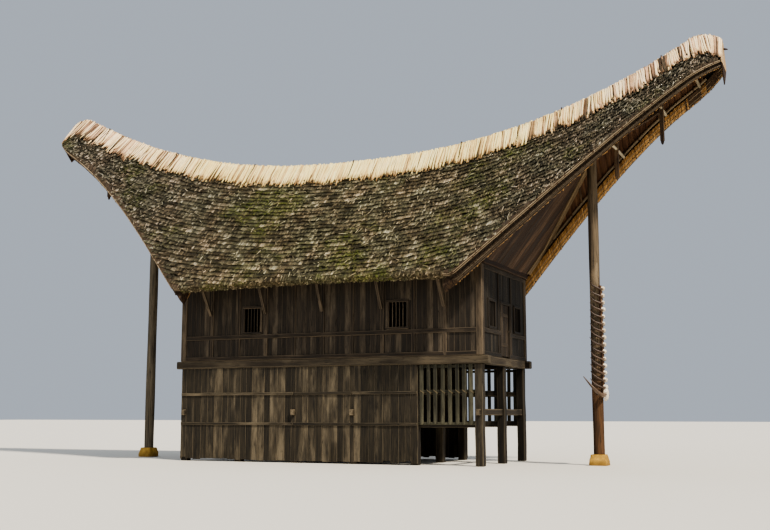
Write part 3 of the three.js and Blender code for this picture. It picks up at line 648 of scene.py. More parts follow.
for name, side in SIDES:
    low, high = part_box(f"{name}_board_screen")
    screen = new_batch()
    for start, end, at_tie in board_edges(low.y, high.y, ties_y):
        y, width = (start + end) / 2, end - start - BOARD_GAP
        foot = low.z + abs(chance.normal(0, 0.025))
        cuts = (tie_low.z - TIE_ROOM, tie_high.z + TIE_ROOM) if at_tie else ()
        ends = (foot, *cuts, high.z)
        for foot, head in zip(ends[::2], ends[1::2]):
            x = (low.x + high.x) / 2 + chance.normal(0, 0.002)
            top = (x, y + chance.normal(0, 0.001), head)
            add_timber(screen, (x, y, foot), top, (high.x - low.x) * BOARD_THICK, width, chamfer=0.004,
                       bow=0.0018, step=0.7, facing=(0, 1, 0))
    x = (low.x if side < 0 else high.x) + side * BATTEN_OUT
    stops = [low.y, *[y for y in ties_y if low.y < y < high.y - 0.2], high.y]
    for level in BATTENS_Z:
        for start, end in zip(stops[:-1], stops[1:]):
            add_timber(screen, (x, start + 0.01, level), (x, end - 0.01, level), *BATTEN, chamfer=0.004)
    fit_piece(f"{name}_boards", screen, screen_wood, "dark_timber", f"{name}_board_screen")


# Sill beams and floor: four heavy beams lie on the heads of the piles and lock at the corners,
# the long ones running on past the house. The floor is laid on them in wide planks.
FLOOR_PLANK = 0.24
FLOOR_PLANK_GAP = 0.001
CORNER_ROOM = 0.125

sill_wood = wood_finish("sill_wood", (24, 20, 16), (54, 46, 36), (86, 76, 60))
for end in ("left", "right", "front", "rear"):
    beam = new_batch()
    add_beam(beam, f"{end}_sill_beam", chamfer=0.018)
    fit_piece(f"{end}_sill", beam, sill_wood, "grey_timber", f"{end}_sill_beam")

planks = new_batch()
deck_low, deck_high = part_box("floor_deck")
level, thick = (deck_low.z + deck_high.z) / 2, deck_high.z - deck_low.z
count = int(round((deck_high.x - deck_low.x) / FLOOR_PLANK))
width = (deck_high.x - deck_low.x) / count
for x in np.linspace(deck_low.x, deck_high.x, count + 1)[:-1] + width / 2:
    trim = CORNER_ROOM if abs(x) + width / 2 > deck_high.x - CORNER_ROOM else 0.0
    start, end = ((x, y, level) for y in (deck_low.y + trim, deck_high.y - trim))
    add_timber(planks, start, end, width - FLOOR_PLANK_GAP, thick, chamfer=0.004, bow=0.0006, step=1.2)
fit_piece("floor_planks", planks, sill_wood, "grey_timber", "floor_deck")


# Walls: corner posts and studs grooved to hold upright boards, with three rails across, all of
# heavy dark timber put together without nails. Each window is a framed hole with four bars. The
# end walls and their frames are painted darker than the side walls: painted shade under the
# overhangs.
WALL_THICK = 0.06
WALL_BOARD = 0.155
WALL_BOARD_GAP = 0.001
WALL_BOARD_THICK = 0.7 * WALL_THICK
WALL_BOARD_IN = 0.45 * WALL_THICK
STUD_PROUD = 0.025
STUD_WIDTH = 0.10
STUD_PITCH = 0.92
FRONT_STUDS = (-0.56, 0.56)
REAR_STUDS = (-0.4, 0.4)
CORNER_POST = 0.18
CORNER_POST_PROUD = 0.03
WALL_RAIL = 0.12
FRAME = 0.07
RAIL_PROUD, JAMB_PROUD, HEAD_PROUD = 0.004, 0.008, 0.014
SHORTEST_BOARD = 0.05
WINDOW_HALF = 0.26
WINDOW_Z = (3.72, 4.40)
SIDE_WINDOWS = (-2.3, 2.3)
END_WINDOWS = (-1.15, 1.15)
WINDOW_BARS = 4
WINDOW_BAR = 0.028
RAIL_UNDER_WINDOW_Z = 3.52
LOWEST_SILL = 0.3
DOOR_HALF = 0.38
DOOR_HEIGHT = 1.45

wall_wood = wood_finish("wall_wood", (28, 24, 19), (63, 54, 44), (95, 84, 69))
frame_wood = wood_finish("frame_wood", (26, 21, 16), (64, 54, 43), (102, 89, 72))
# Darker copies of the side walls' timbers: painted shade for the end walls under the overhangs.
end_wall_wood_painted_shade = wood_finish("end_wall_wood_painted_shade", (17, 14, 11), (38, 33, 27), (60, 53, 43))
end_frame_wood_painted_shade = wood_finish("end_frame_wood_painted_shade", (16, 13, 10), (40, 34, 27), (67, 58, 47))


def add_wall(boards, framing, at, out, reach, low, high, openings, studs):
    """A framed wall. at(along, out, z) gives a place; openings are (middle, half, low, high)."""
    deep, core = STUD_PROUD + WALL_THICK, out + (STUD_PROUD - WALL_THICK) / 2
    outward = np.subtract(at(0, 1, 0), at(0, 0, 0))

    def bar(start, end, width, thick=deep, centre=core, wood=framing, chamfer=0.010):
        first, last = (at(along, centre, z) for along, z in (start, end))
        add_timber(wood, first, last, width, thick, chamfer=chamfer, bow=0.0015, facing=outward)

    def board(along, foot, head, width, shift=0.0):
        bar((along, foot), (along, head), width, WALL_BOARD_THICK, out - WALL_BOARD_IN + shift, boards, 0.004)

    def clear_spans(along, grow):
        """Heights free of openings at a place along the wall."""
        spans = [(low, high)]
        for centre, half, foot, head in openings:
            if abs(along - centre) < half + grow:
                spans = [part for a, b in spans for part in ((a, foot - FRAME / 2), (head + FRAME / 2, b))
                         if part[1] - part[0] > SHORTEST_BOARD]
        return spans

    for along in np.arange(-reach + WALL_BOARD / 2, reach, WALL_BOARD):
        for foot, head in clear_spans(along, WALL_BOARD / 2):
            board(along, foot, head, WALL_BOARD - WALL_BOARD_GAP, chance.normal(0, 0.0015))
        for centre, half, foot, head in openings:
            beside = abs(along - centre) + WALL_BOARD / 2 - half - FRAME / 2
            if FRAME / 2 < beside < WALL_BOARD - FRAME / 2:
                strip = centre + math.copysign(half + FRAME / 2 + beside / 2, along - centre)
                board(strip, max(low, foot - FRAME / 2), head + FRAME / 2, beside)
    for along in studs:
        for foot, head in clear_spans(along, STUD_WIDTH / 2):
            bar((along, foot), (along, head), STUD_WIDTH)
    for level in (low, RAIL_UNDER_WINDOW_Z, high - WALL_RAIL):
        cuts = sorted((centre - half, centre + half) for centre, half, foot, head in openings
                      if foot < level + WALL_RAIL and head > level)
        start = -reach
        for stop, restart in [*cuts, (reach, reach)]:
            bar((start, level + WALL_RAIL / 2), (stop, level + WALL_RAIL / 2), WALL_RAIL, deep + RAIL_PROUD)
            start = restart
    for centre, half, foot, head in openings:
        window = foot > low + LOWEST_SILL
        for sign in (-1, 1):
            edge = centre + sign * (half + FRAME / 2)
            bar((edge, foot - FRAME * window), (edge, head + FRAME), FRAME, deep + JAMB_PROUD)
        for level in (head + FRAME / 2, foot - FRAME / 2)[:1 + window]:
            bar((centre - half - FRAME, level), (centre + half + FRAME, level), FRAME, deep + HEAD_PROUD)
        for number in range(WINDOW_BARS * window):
            along = centre + half * (2 * (number + 1) / (WINDOW_BARS + 1) - 1)
            bar((along, foot), (along, head), WINDOW_BAR, WINDOW_BAR, chamfer=0.005)


windows_on_side = [(y, WINDOW_HALF, *WINDOW_Z) for y in SIDE_WINDOWS]
windows_on_end = [(x, WINDOW_HALF, *WINDOW_Z) for x in END_WINDOWS]
doorway = (0.0, DOOR_HALF, deck_high.z, deck_high.z + DOOR_HEIGHT)
for name, side in SIDES:
    low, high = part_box(f"{name}_wall")
    outer = max(abs(low.x), abs(high.x))
    boards, framing = new_batch(), new_batch()
    reach = high.y - CORNER_POST
    bays = int(reach / STUD_PITCH)
    add_wall(boards, framing, lambda along, out, z: (side * out, along, z), outer - CORNER_POST_PROUD, reach,
             low.z, high.z, windows_on_side, [STUD_PITCH * bay for bay in range(-bays, bays + 1)])
    for end in (-1, 1):
        x, y = side * (outer - CORNER_POST / 2), end * (high.y - CORNER_POST / 2)
        add_timber(framing, (x, y, low.z), (x, y, high.z), CORNER_POST, CORNER_POST, chamfer=0.016,
                   bow=0.0015)
    fit_piece(f"{name}_wall_boards", boards, wall_wood, "dark_timber", f"{name}_wall")
    fit_piece(f"{name}_wall_frame", framing, frame_wood, "dark_timber")

for name, direction, openings, studs in (("front", -1, [*windows_on_end, doorway], FRONT_STUDS),
                                         ("rear", 1, windows_on_end, REAR_STUDS)):
    low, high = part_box(f"{name}_wall")
    boards, framing = new_batch(), new_batch()
    add_wall(boards, framing, lambda along, out, z: (along, direction * out, z),
             max(abs(low.y), abs(high.y)) - STUD_PROUD, high.x, low.z, high.z, openings, studs)
    fit_piece(f"{name}_wall_boards", boards, end_wall_wood_painted_shade, "dark_timber", f"{name}_wall")
    fit_piece(f"{name}_wall_frame", framing, end_frame_wood_painted_shade, "dark_timber")


# Front door: three upright planks joined by two battens, set back a little in its frame, with a
# turned wooden pull.
DOOR_PLANKS = 3
DOOR_PLANK_GAP = 0.004
DOOR_PLANK_THICK = 0.8
DOOR_BATTENS = (0.22, 0.80)
DOOR_BATTEN = (0.09, 0.024)
DOOR_PULL = ((0.012, 0.011), (-0.012, 0.011), (-0.02, 0.021), (-0.034, 0.023), (-0.044, 0.010))
DOOR_PULL_IN, DOOR_PULL_UP = 0.10, 0.72

door_wood = wood_finish("door_wood", (24, 19, 15), (56, 45, 34), (86, 74, 58))
leaf = new_batch()
low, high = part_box("front_door")
y, thick = (low.y + high.y) / 2, (high.y - low.y) * DOOR_PLANK_THICK
width, cut = (high.x - low.x) / DOOR_PLANKS, {"chamfer": 0.005, "bow": 0.0005, "facing": (0, 1, 0)}
for number in range(DOOR_PLANKS):
    x = low.x + width * (number + 0.5)
    add_timber(leaf, (x, y, low.z), (x, y, high.z), width - DOOR_PLANK_GAP, thick, **cut)
for share in DOOR_BATTENS:
    start, end = ((x, low.y + 0.006, low.z + share * (high.z - low.z)) for x in (low.x + 0.03, high.x - 0.03))
    add_timber(leaf, start, end, *DOOR_BATTEN, **cut)
add_pole(leaf, [(high.x - DOOR_PULL_IN, low.y + out, low.z + DOOR_PULL_UP) for out, _ in DOOR_PULL],
         [radius for _, radius in DOOR_PULL], 14)
fit_piece("front_door_leaf", leaf, door_wood, "grey_timber", "front_door")


# Ridge beam: the keel of the roof, spliced from long hewn timbers that follow its sag and reach
# from tip to tip over the gable posts. The sizes of the whole roof are settled here.
RIDGE_MID_Z = 9.0
RIDGE_RISE = 2.50
RIDGE_RISE_Y = 10.21
RIDGE_POWER = 2.3
TIP_Y = 10.9
DROOP_FROM_Y = 10.0
DROOP = 0.62
CAP_RISE = 0.11
RUN = (0.75, 0.87)
EAVE_Y = 4.3
EAVE_MID_Z = 5.07
EAVE_DIP = 0.10
EAVE_STEPS = 3
VERGE = ((EAVE_Y, 4.97), (5.0, 5.64), (6.2, 6.80), (7.6, 8.09), (9.2, 9.42), (TIP_Y, 10.58))
VERGE_STEPS = 12
THATCH = (0.24, 0.15)
SOFFIT = 0.045
SOFFIT_ROOM = 0.004
BEAM_HALF = 0.08
BEAM_DEPTH = (0.20, 0.14)
BEAM_END = 0.06
BEAM_EASE = 0.014
BEAM_STEP = 0.35


def toward_tip(sizes, y):
    """A size that changes evenly from the eave corner to the tip."""
    share = np.clip((np.abs(y) - EAVE_Y) / (TIP_Y - EAVE_Y), 0, 1)
    return sizes[0] + (sizes[1] - sizes[0]) * share


def ridge_top(y):
    distance = np.abs(y)
    droop = np.maximum(0, distance - DROOP_FROM_Y) / (TIP_Y - DROOP_FROM_Y)
    return RIDGE_MID_Z + RIDGE_RISE * (distance / RIDGE_RISE_Y) ** RIDGE_POWER - DROOP * droop**2


def layer_z(x, y, depth):
    """Height of a layer of the roof at a place in plan and a depth square to the slope."""
    run = toward_tip(RUN, y)
    return ridge_top(y) - CAP_RISE - np.abs(x) / run - depth * np.hypot(1, 1 / run)


def soffit_z(x, y):
    """Height of the underside of the soffit."""
    return layer_z(x, y, toward_tip(THATCH, y) + SOFFIT)


eave_steps = np.arange(EAVE_STEPS) / EAVE_STEPS
eave_line = np.column_stack([EAVE_Y * eave_steps, EAVE_MID_Z - EAVE_DIP * eave_steps**2])
edge_y, edge_height = np.vstack([eave_line, curve_through(VERGE, VERGE_STEPS + 1)]).T


def slope_length(y):
    """Length of the slope from the apex down to its lower edge."""
    height = ridge_top(y) - CAP_RISE - np.interp(np.abs(y), edge_y, edge_height)
    return height * np.hypot(1, toward_tip(RUN, y))


def on_slope(side, y, down, out):
    """A place on a slope: down from the apex along it, and out from the thatch square to it."""
    run = toward_tip(RUN, y)
    slant = np.hypot(1, run)
    z = ridge_top(y) - CAP_RISE - (down - out * run) / slant
    return np.stack(np.broadcast_arrays(side * (down * run + out) / slant, y, z), axis=-1)


beam_wood = wood_finish("beam_wood", (40, 29, 22), (96, 72, 52), (140, 116, 88))
keel = new_batch()
stations = np.arange(-TIP_Y + BEAM_END, TIP_Y - BEAM_END + 0.01, BEAM_STEP)
stations[-1] = TIP_Y - BEAM_END
rings = []
for y in stations:
    shoulder, half = soffit_z(BEAM_HALF, y), BEAM_HALF - 0.001
    bottom = shoulder - toward_tip(BEAM_DEPTH, y)
    flank = [(half, shoulder - SOFFIT_ROOM), (half, bottom + BEAM_EASE), (half - BEAM_EASE, bottom)]
    ring = [(0, soffit_z(0, y) - SOFFIT_ROOM), *flank, *((-x, z) for x, z in flank[::-1])]
    rings.append([(x, y, z) for x, z in ring])
add_skin(keel, rings, tone=0.5, wear=[0, 0, 1, 1, 1, 1, 0])
fit_piece("ridge_keel", keel, beam_wood, "dark_timber", "ridge_beam", smooth=35)


# Leaning gables: above each end wall a panel of broad lapped boards leans out to the gable post and
# then stands up under the ridge beam. A chord ties its foot, and pale rake boards edge it.
ENDS = (("front", -1), ("rear", 1))
GABLE_FOOT = np.array((4.72, 5.35))
GABLE_KNEE = np.array((7.11, 8.45))
GABLE_HEAD_Z = 9.07
GABLE_HALF = 2.02
GABLE_THICK = 0.05
GABLE_CHORD = (0.08, 0.18)
GABLE_CHORD_IN = 0.05
GABLE_BOARD = 0.23
GABLE_LAP = 0.012
GABLE_EDGE = 0.03
SHORTEST_GABLE_BOARD = 0.06
RAKE_BOARD = (0.28, 0.028)
RAKE_IN = 0.18

gable_wood = wood_finish("gable_wood", (32, 22, 16), (66, 46, 32), (96, 74, 54), fibre=26.0)
rake_wood = wood_finish("rake_wood", (70, 56, 40), (126, 104, 76), (164, 144, 112))
lean_length = math.dist(GABLE_FOOT, GABLE_KNEE)
lean = (GABLE_KNEE - GABLE_FOOT) / lean_length
inward = np.array([-lean[1], lean[0]])


def half_under_soffit(y, z):
    return (soffit_z(0, y) - z) * toward_tip(RUN, y)


def gable_place(up):
    """Distance from mid length and height on the gable's outer face, up from its foot."""
    return GABLE_FOOT + lean * up if up <= lean_length else GABLE_KNEE + (0, up - lean_length)


def gable_top(x):
    """How far up the panel a line at x runs before it meets the soffit or the ridge beam."""
    for up in np.linspace(0, 5.2, 521):
        y, z = gable_place(up)
        if half_under_soffit(y, z + 0.01) < x + GABLE_EDGE or z > GABLE_HEAD_Z:
            break
    return up


for name, direction in ENDS:
    panel, edging = new_batch(), new_batch()
    count = int(round(2 * GABLE_HALF / GABLE_BOARD))
    width = 2 * GABLE_HALF / count
    for number in range(count):
        x = -GABLE_HALF + width * (number + 0.5)
        top = gable_top(abs(x) + width / 2)
        sunk = GABLE_THICK / 2 + GABLE_LAP / 2 * (number % 2) + abs(chance.normal(0, 0.002))
        leaning, upright = (0.03, min(top, lean_length), inward), (lean_length + 0.004, top, (-1.0, 0.0))
        for start, stop, within in (leaning, upright):
            if stop - start < SHORTEST_GABLE_BOARD:
                continue
            places = (gable_place(up) + np.array(within) * sunk for up in (start, stop - 0.002))
            ends = ((x, direction * y, z) for y, z in places)
            add_timber(panel, *ends, width + GABLE_LAP, GABLE_THICK * 0.8, chamfer=0.005, bow=0.002, step=0.8,
                       facing=(0, direction, 0))
    y, z = GABLE_FOOT + np.array(GABLE_CHORD) / 2 + (-0.01, 0.003)
    ends = ((x, direction * y, z) for x in (-GABLE_HALF, GABLE_HALF))
    add_timber(panel, *ends, GABLE_CHORD[0] + GABLE_CHORD_IN, GABLE_CHORD[1])
    for side in (-1, 1):
        path = []
        for y, z in map(gable_place, np.linspace(0.2, lean_length - 0.05, 9)):
            half = min(half_under_soffit(y, z) - RAKE_IN, GABLE_HALF - 0.03)
            path.append((side * half, direction * (y + 0.012), z))
        path = curve_through(path, 33)
        outward = np.array((0, -direction * inward[0], -inward[1]))
        rings = [point + np.array([-b * a * RAKE_BOARD[0] / 2 * across + b * RAKE_BOARD[1] / 2 * outward
                                   for b in (-1, 1) for a in (-1, -0.34, 0.34, 1)])
                 for point, across in zip(path, unit(np.cross(unit(np.gradient(path, axis=0)), outward)))]
        add_skin(edging, rings, tone=0.5, wear=[0.8, 0, 0, 0.8] * 2)
    fit_piece(f"{name}_gable_boards", panel, gable_wood, "dark_timber", f"{name}_gable_wall")
    fit_piece(f"{name}_rake_boards", edging, rake_wood, "dark_timber")


# Eave frames: a top plate lies on each long wall, and struts spread from the wall to a round
# purlin that carries the eaves. The purlin's cut ends have stayed pale.
PLATE_OUT = 2.03
PLATE_WIDTH = 0.16
PLATE_Z = 5.3505
PURLIN_RADIUS = 0.060
PURLIN_Z = 5.06
PURLIN_END = 3.84
PURLIN_STEPS = 25
PURLIN_SIDES = 14
STRUT = 0.08
STRUT_FOOT = (2.0655, 4.23)
STRUT_HEAD = (2.01, 5.45)
STRUT_PITCH = 1.84

strut_wood = wood_finish("strut_wood", (30, 25, 20), (70, 60, 48), (112, 98, 80))
purlin_wood = wood_finish("purlin_wood", (30, 25, 20), (70, 60, 48), (214, 202, 178))


def purlin_x(y):
    run = toward_tip(RUN, y)
    return (soffit_z(0, y) - PURLIN_Z - (PURLIN_RADIUS + 0.0003) * np.hypot(1, 1 / run)) * run


for name, side in SIDES:
    low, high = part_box(f"{name}_eave_frame")
    carry, purlin = new_batch(), new_batch()
    inner = PLATE_OUT - PLATE_WIDTH
    rings = [[(side * PLATE_OUT, y, PLATE_Z), (side * inner, y, PLATE_Z),
              *((side * x, y, soffit_z(x, y) - SOFFIT_ROOM) for x in (inner, PLATE_OUT))]
             for y in np.linspace(low.y, high.y, 21)]
    add_skin(carry, rings, tone=0.3)
    ys = np.linspace(-PURLIN_END, PURLIN_END, PURLIN_STEPS)
    path = np.column_stack([side * purlin_x(ys), ys, np.full(PURLIN_STEPS, PURLIN_Z)])
    cut = np.abs(ys[:, None]) == PURLIN_END
    add_pole(purlin, path, PURLIN_RADIUS * 0.985, PURLIN_SIDES, tone=0.3, wear=cut.astype(float))
    for y in STRUT_PITCH * np.arange(-2, 3):
        target = (side * purlin_x(y), y, PURLIN_Z)
        foot, head = ((side * x, y, z) for x, z in (STRUT_FOOT, STRUT_HEAD))
        add_timber(carry, foot, target, STRUT, STRUT, chamfer=0.008, tone=chance.uniform(0.5, 1.0))
        add_timber(carry, head, target, STRUT * 0.9, STRUT * 0.9, chamfer=0.008)
    fit_piece(f"{name}_eave_timbers", carry, strut_wood, "dark_timber", f"{name}_eave_frame")
    fit_piece(f"{name}_purlin", purlin, purlin_wood, "dark_timber")


# Soffit and rafters: thin broad boards run down under the thatch from the ridge beam to the edge,
# and dark rafters carry them every metre and a bit. The boards have gone a warm brown.
SOFFIT_BOARD = 0.17
SOFFIT_GAP = 0.007
SOFFIT_TOP = 0.13
SOFFIT_EDGE = (0.48, 0.36)
SOFFIT_MARGIN = 0.02
RAFTER_PITCH = 1.21
RAFTERS_FROM_Y, RAFTERS_TO_Y = -8.5 * RAFTER_PITCH, 10.4
RAFTER_TOP = 0.22
RAFTER = (0.055, 0.07)

soffit_wood = wood_finish("soffit_wood", (66, 44, 30), (106, 74, 50), (128, 96, 68), fibre=22.0)
rafter_wood = wood_finish("rafter_wood", (36, 26, 20), (84, 62, 44), (124, 100, 74))


def soffit_end(y):
    return np.maximum(slope_length(y) - toward_tip(SOFFIT_EDGE, y), 0.16)


for name, side in SIDES:
    boards, rafters = new_batch(), new_batch()
    for start in np.arange(-TIP_Y + SOFFIT_MARGIN, TIP_Y - SOFFIT_MARGIN, SOFFIT_BOARD):
        stop = min(start + SOFFIT_BOARD - SOFFIT_GAP, TIP_Y - SOFFIT_MARGIN)
        upper, lower = SOFFIT_ROOM, SOFFIT - abs(chance.normal(0, 0.004))
        tone = chance.uniform(0.25, 0.65)
        rings = []
        for share in (0.0, 0.5, 1.0):
            corners = ((start, upper), (stop, upper), (stop, lower), (start, lower))
            rings.append([on_slope(side, y, SOFFIT_TOP + (soffit_end(y) - SOFFIT_TOP) * share,
                                   -toward_tip(THATCH, y) - depth) for y, depth in corners])
        add_skin(boards, rings, tone)
    for y in np.arange(RAFTERS_FROM_Y, RAFTERS_TO_Y, RAFTER_PITCH):
        depth = toward_tip(THATCH, y) + SOFFIT + RAFTER[1] / 2
        ends = [on_slope(side, y, down, -depth) for down in (RAFTER_TOP, soffit_end(y) - 0.02)]
        square = on_slope(side, y, 1.0, 1.0) - on_slope(side, y, 1.0, 0.0)
        add_timber(rafters, *ends, *RAFTER, chamfer=0.006, bow=0.002, facing=square)
    fit_piece(f"{name}_soffit_planks", boards, soffit_wood, "soffit_board", f"{name}_soffit_boards",
              smooth=None)
    fit_piece(f"{name}_rafters", rafters, rafter_wood, "soffit_board")


# Thatch: some sixty courses of split bamboo lie one over another on each slope. Their weathered
# ends stick out unevenly, loose straws lie about, and moss has taken hold in patches. Light and
# shade are painted on them: the lips of the tiles and the straws are painted lighter, a painted
# highlight, and the tops of the tiles, the sunk courses, the core beneath and the edge sticks are
# painted darker, painted shade; the slopes are painted darker and bluer towards the tips.
COURSE = 0.080
COURSES_FROM = 0.50
TILE_WIDTH = 0.052
TILE_LENGTH = 0.20
TILE_UNDER = -0.014
DASH_WIDTH = 0.20
PAIR_STEP = 0.017
CORE_TOP = 0.04
CORE_SINK = 0.055
STRAWS = 1100
STRAWS_TO_Y = 10.4
EAVES_TO_Y = 4.10
EDGE_LAYERS = 6
EDGE_STICK = 0.040
EDGE_LENGTH = 0.26
MOSS = 0.6
TILE_FORM = ((0, 3, 2, 1), (3, 5, 4, 2), (0, 1, 4, 5), (0, 5, 3), (1, 2, 4))
STRAW_FORM = ((0, 3, 2, 1), (0, 5, 4, 3), (1, 2, 4, 5), (0, 1, 5), (3, 4, 2))
STICK_FORM = ((0, 1, 2, 3), (4, 7, 6, 5), (0, 4, 5, 1), (1, 5, 6, 2), (2, 6, 7, 3), (3, 7, 4, 0))
ROLLS = [(chance.uniform(0.5, 2.2), chance.uniform(0.8, 3.0), chance.uniform(0, 6.3)) for _ in range(7)]
CLUMPS = [(chance.uniform(4, 15), chance.uniform(4, 15), chance.uniform(0, 6.3)) for _ in range(9)]


def add_many(batch, corners, form, side, tone, wear, run_along):
    """Adds many copies of one small form, corner by corner, its faces turned for its side."""
    corners = np.stack(corners, axis=1)
    copies, count, _ = corners.shape
    first = np.arange(copies)[:, None] * count
    faces = [first + np.array(face if side > 0 else face[::-1]) for face in form]
    grain = np.zeros_like(corners)
    grain[..., 0] = run_along + chance.random((copies, 1)) * 30
    grain[..., 1] = corners[..., 1] + chance.random((copies, 1)) * 9
    wear = np.broadcast_to(wear, (copies, count)).reshape(-1)
    add_form(batch, corners.reshape(-1, 3), faces, grain.reshape(-1, 3), np.repeat(tone, count), wear)


def add_sticks(batch, side, y, half, depth, ends, tone, length, wear=1.0):
    """A row of squared sticks down a slope. Each end is (down, half its thickness), the one given wear and
    painted light last.
    """
    corners = [on_slope(side, y + a * half, down, -depth + b * tall)
               for down, tall in ends for a, b in ((-1, 1), (1, 1), (1, -1), (-1, -1))]
    add_many(batch, corners, STICK_FORM, -side, tone, [0.0] * 4 + [wear] * 4, [0.0] * 4 + [length] * 4)


def thatch_lift(y, down):
    """How far the old thatch stands proud: slow rolls, and clumps where layers have rotted or lifted."""
    rolls = sum(np.sin(a * y + b * down + c) for a, b, c in ROLLS) / len(ROLLS)
    clumps = sum(np.sin(a * y + b * down * (-1) ** i + c) for i, (a, b, c) in enumerate(CLUMPS)) / len(CLUMPS)
    return 0.024 * rolls + 0.026 * clumps - 0.028


def add_ramp(value, *stops):
    """A colour for a value, between the stops given as places and colours."""
    ramp = add_node("ValToRGB", {0: value})[0]
    elements = ramp.node.color_ramp.elements
    for number, (at, tint) in enumerate(stops):
        element = elements[number] if number < 2 else elements.new(at)
        element.position, element.color = at, paint(*tint)
    return ramp


thatch_bamboo, place, grain, tone, wear = new_material("thatch_bamboo", "place", "grain", "tone", "wear",
                                                       roughness=0.9, relief=0.6, specular=0.2)
fibre = noise(scaled(grain, (6.0, 140.0, 140.0)), 1.0, 3.0)
patch = noise(place, 0.55, 5.0, 0.62)
speck = noise(place, 11.0, 4.0, 0.7)
age = sums("MULTIPLY_ADD", speck, 0.55, sums("MULTIPLY", tone, 0.62))
aged = add_ramp(age, (0.26, (22, 21, 17)), (0.44, (52, 50, 40)), (0.60, (90, 86, 70)),
                (0.76, (138, 131, 110)), (0.94, (212, 204, 180)))
straw = blend(remap(fibre, 0.3, 0.7, 0.0, 0.35), aged, paint(108, 99, 74))
earth = remap(noise(place, 1.3, 4.0, 0.7), 0.36, 0.64)
straw = blend(1.0, straw, blend(earth, paint(253, 238, 221), paint(241, 243, 228)), "MULTIPLY")
green = blend(remap(speck, 0.35, 0.65), paint(44, 52, 22), paint(104, 112, 44))
grown = sums("MULTIPLY", remap(patch, 0.50, 0.66), remap(speck, 0.36, 0.60, 0.1, 1.0))
straw = blend(sums("MULTIPLY", grown, MOSS), straw, green)
out_at = sums("ABSOLUTE", add_node("SeparateXYZ", {0: place})["Y"])
# Painted light: the lips and straws, high in wear, are painted lighter as a painted highlight, and the tops
# of the tiles darker as painted shade. Towards the tips the slope is painted darker and bluer, as painted
# shade.
lit = sums("MULTIPLY", remap(wear, 0.45, 1.0, 0.62, 1.42), remap(out_at, 1.0, 9.0, 1.10, 0.82))
painted_shade_blue = sums("MULTIPLY", lit, remap(out_at, 1.0, 9.0, 1.05, 1.22))
lit = add_node("CombineXYZ", {"X": lit, "Y": lit, "Z": painted_shade_blue})[0]
coat(thatch_bamboo, blend(1.0, straw, lit, "MULTIPLY"), sums("ADD", fibre, speck))

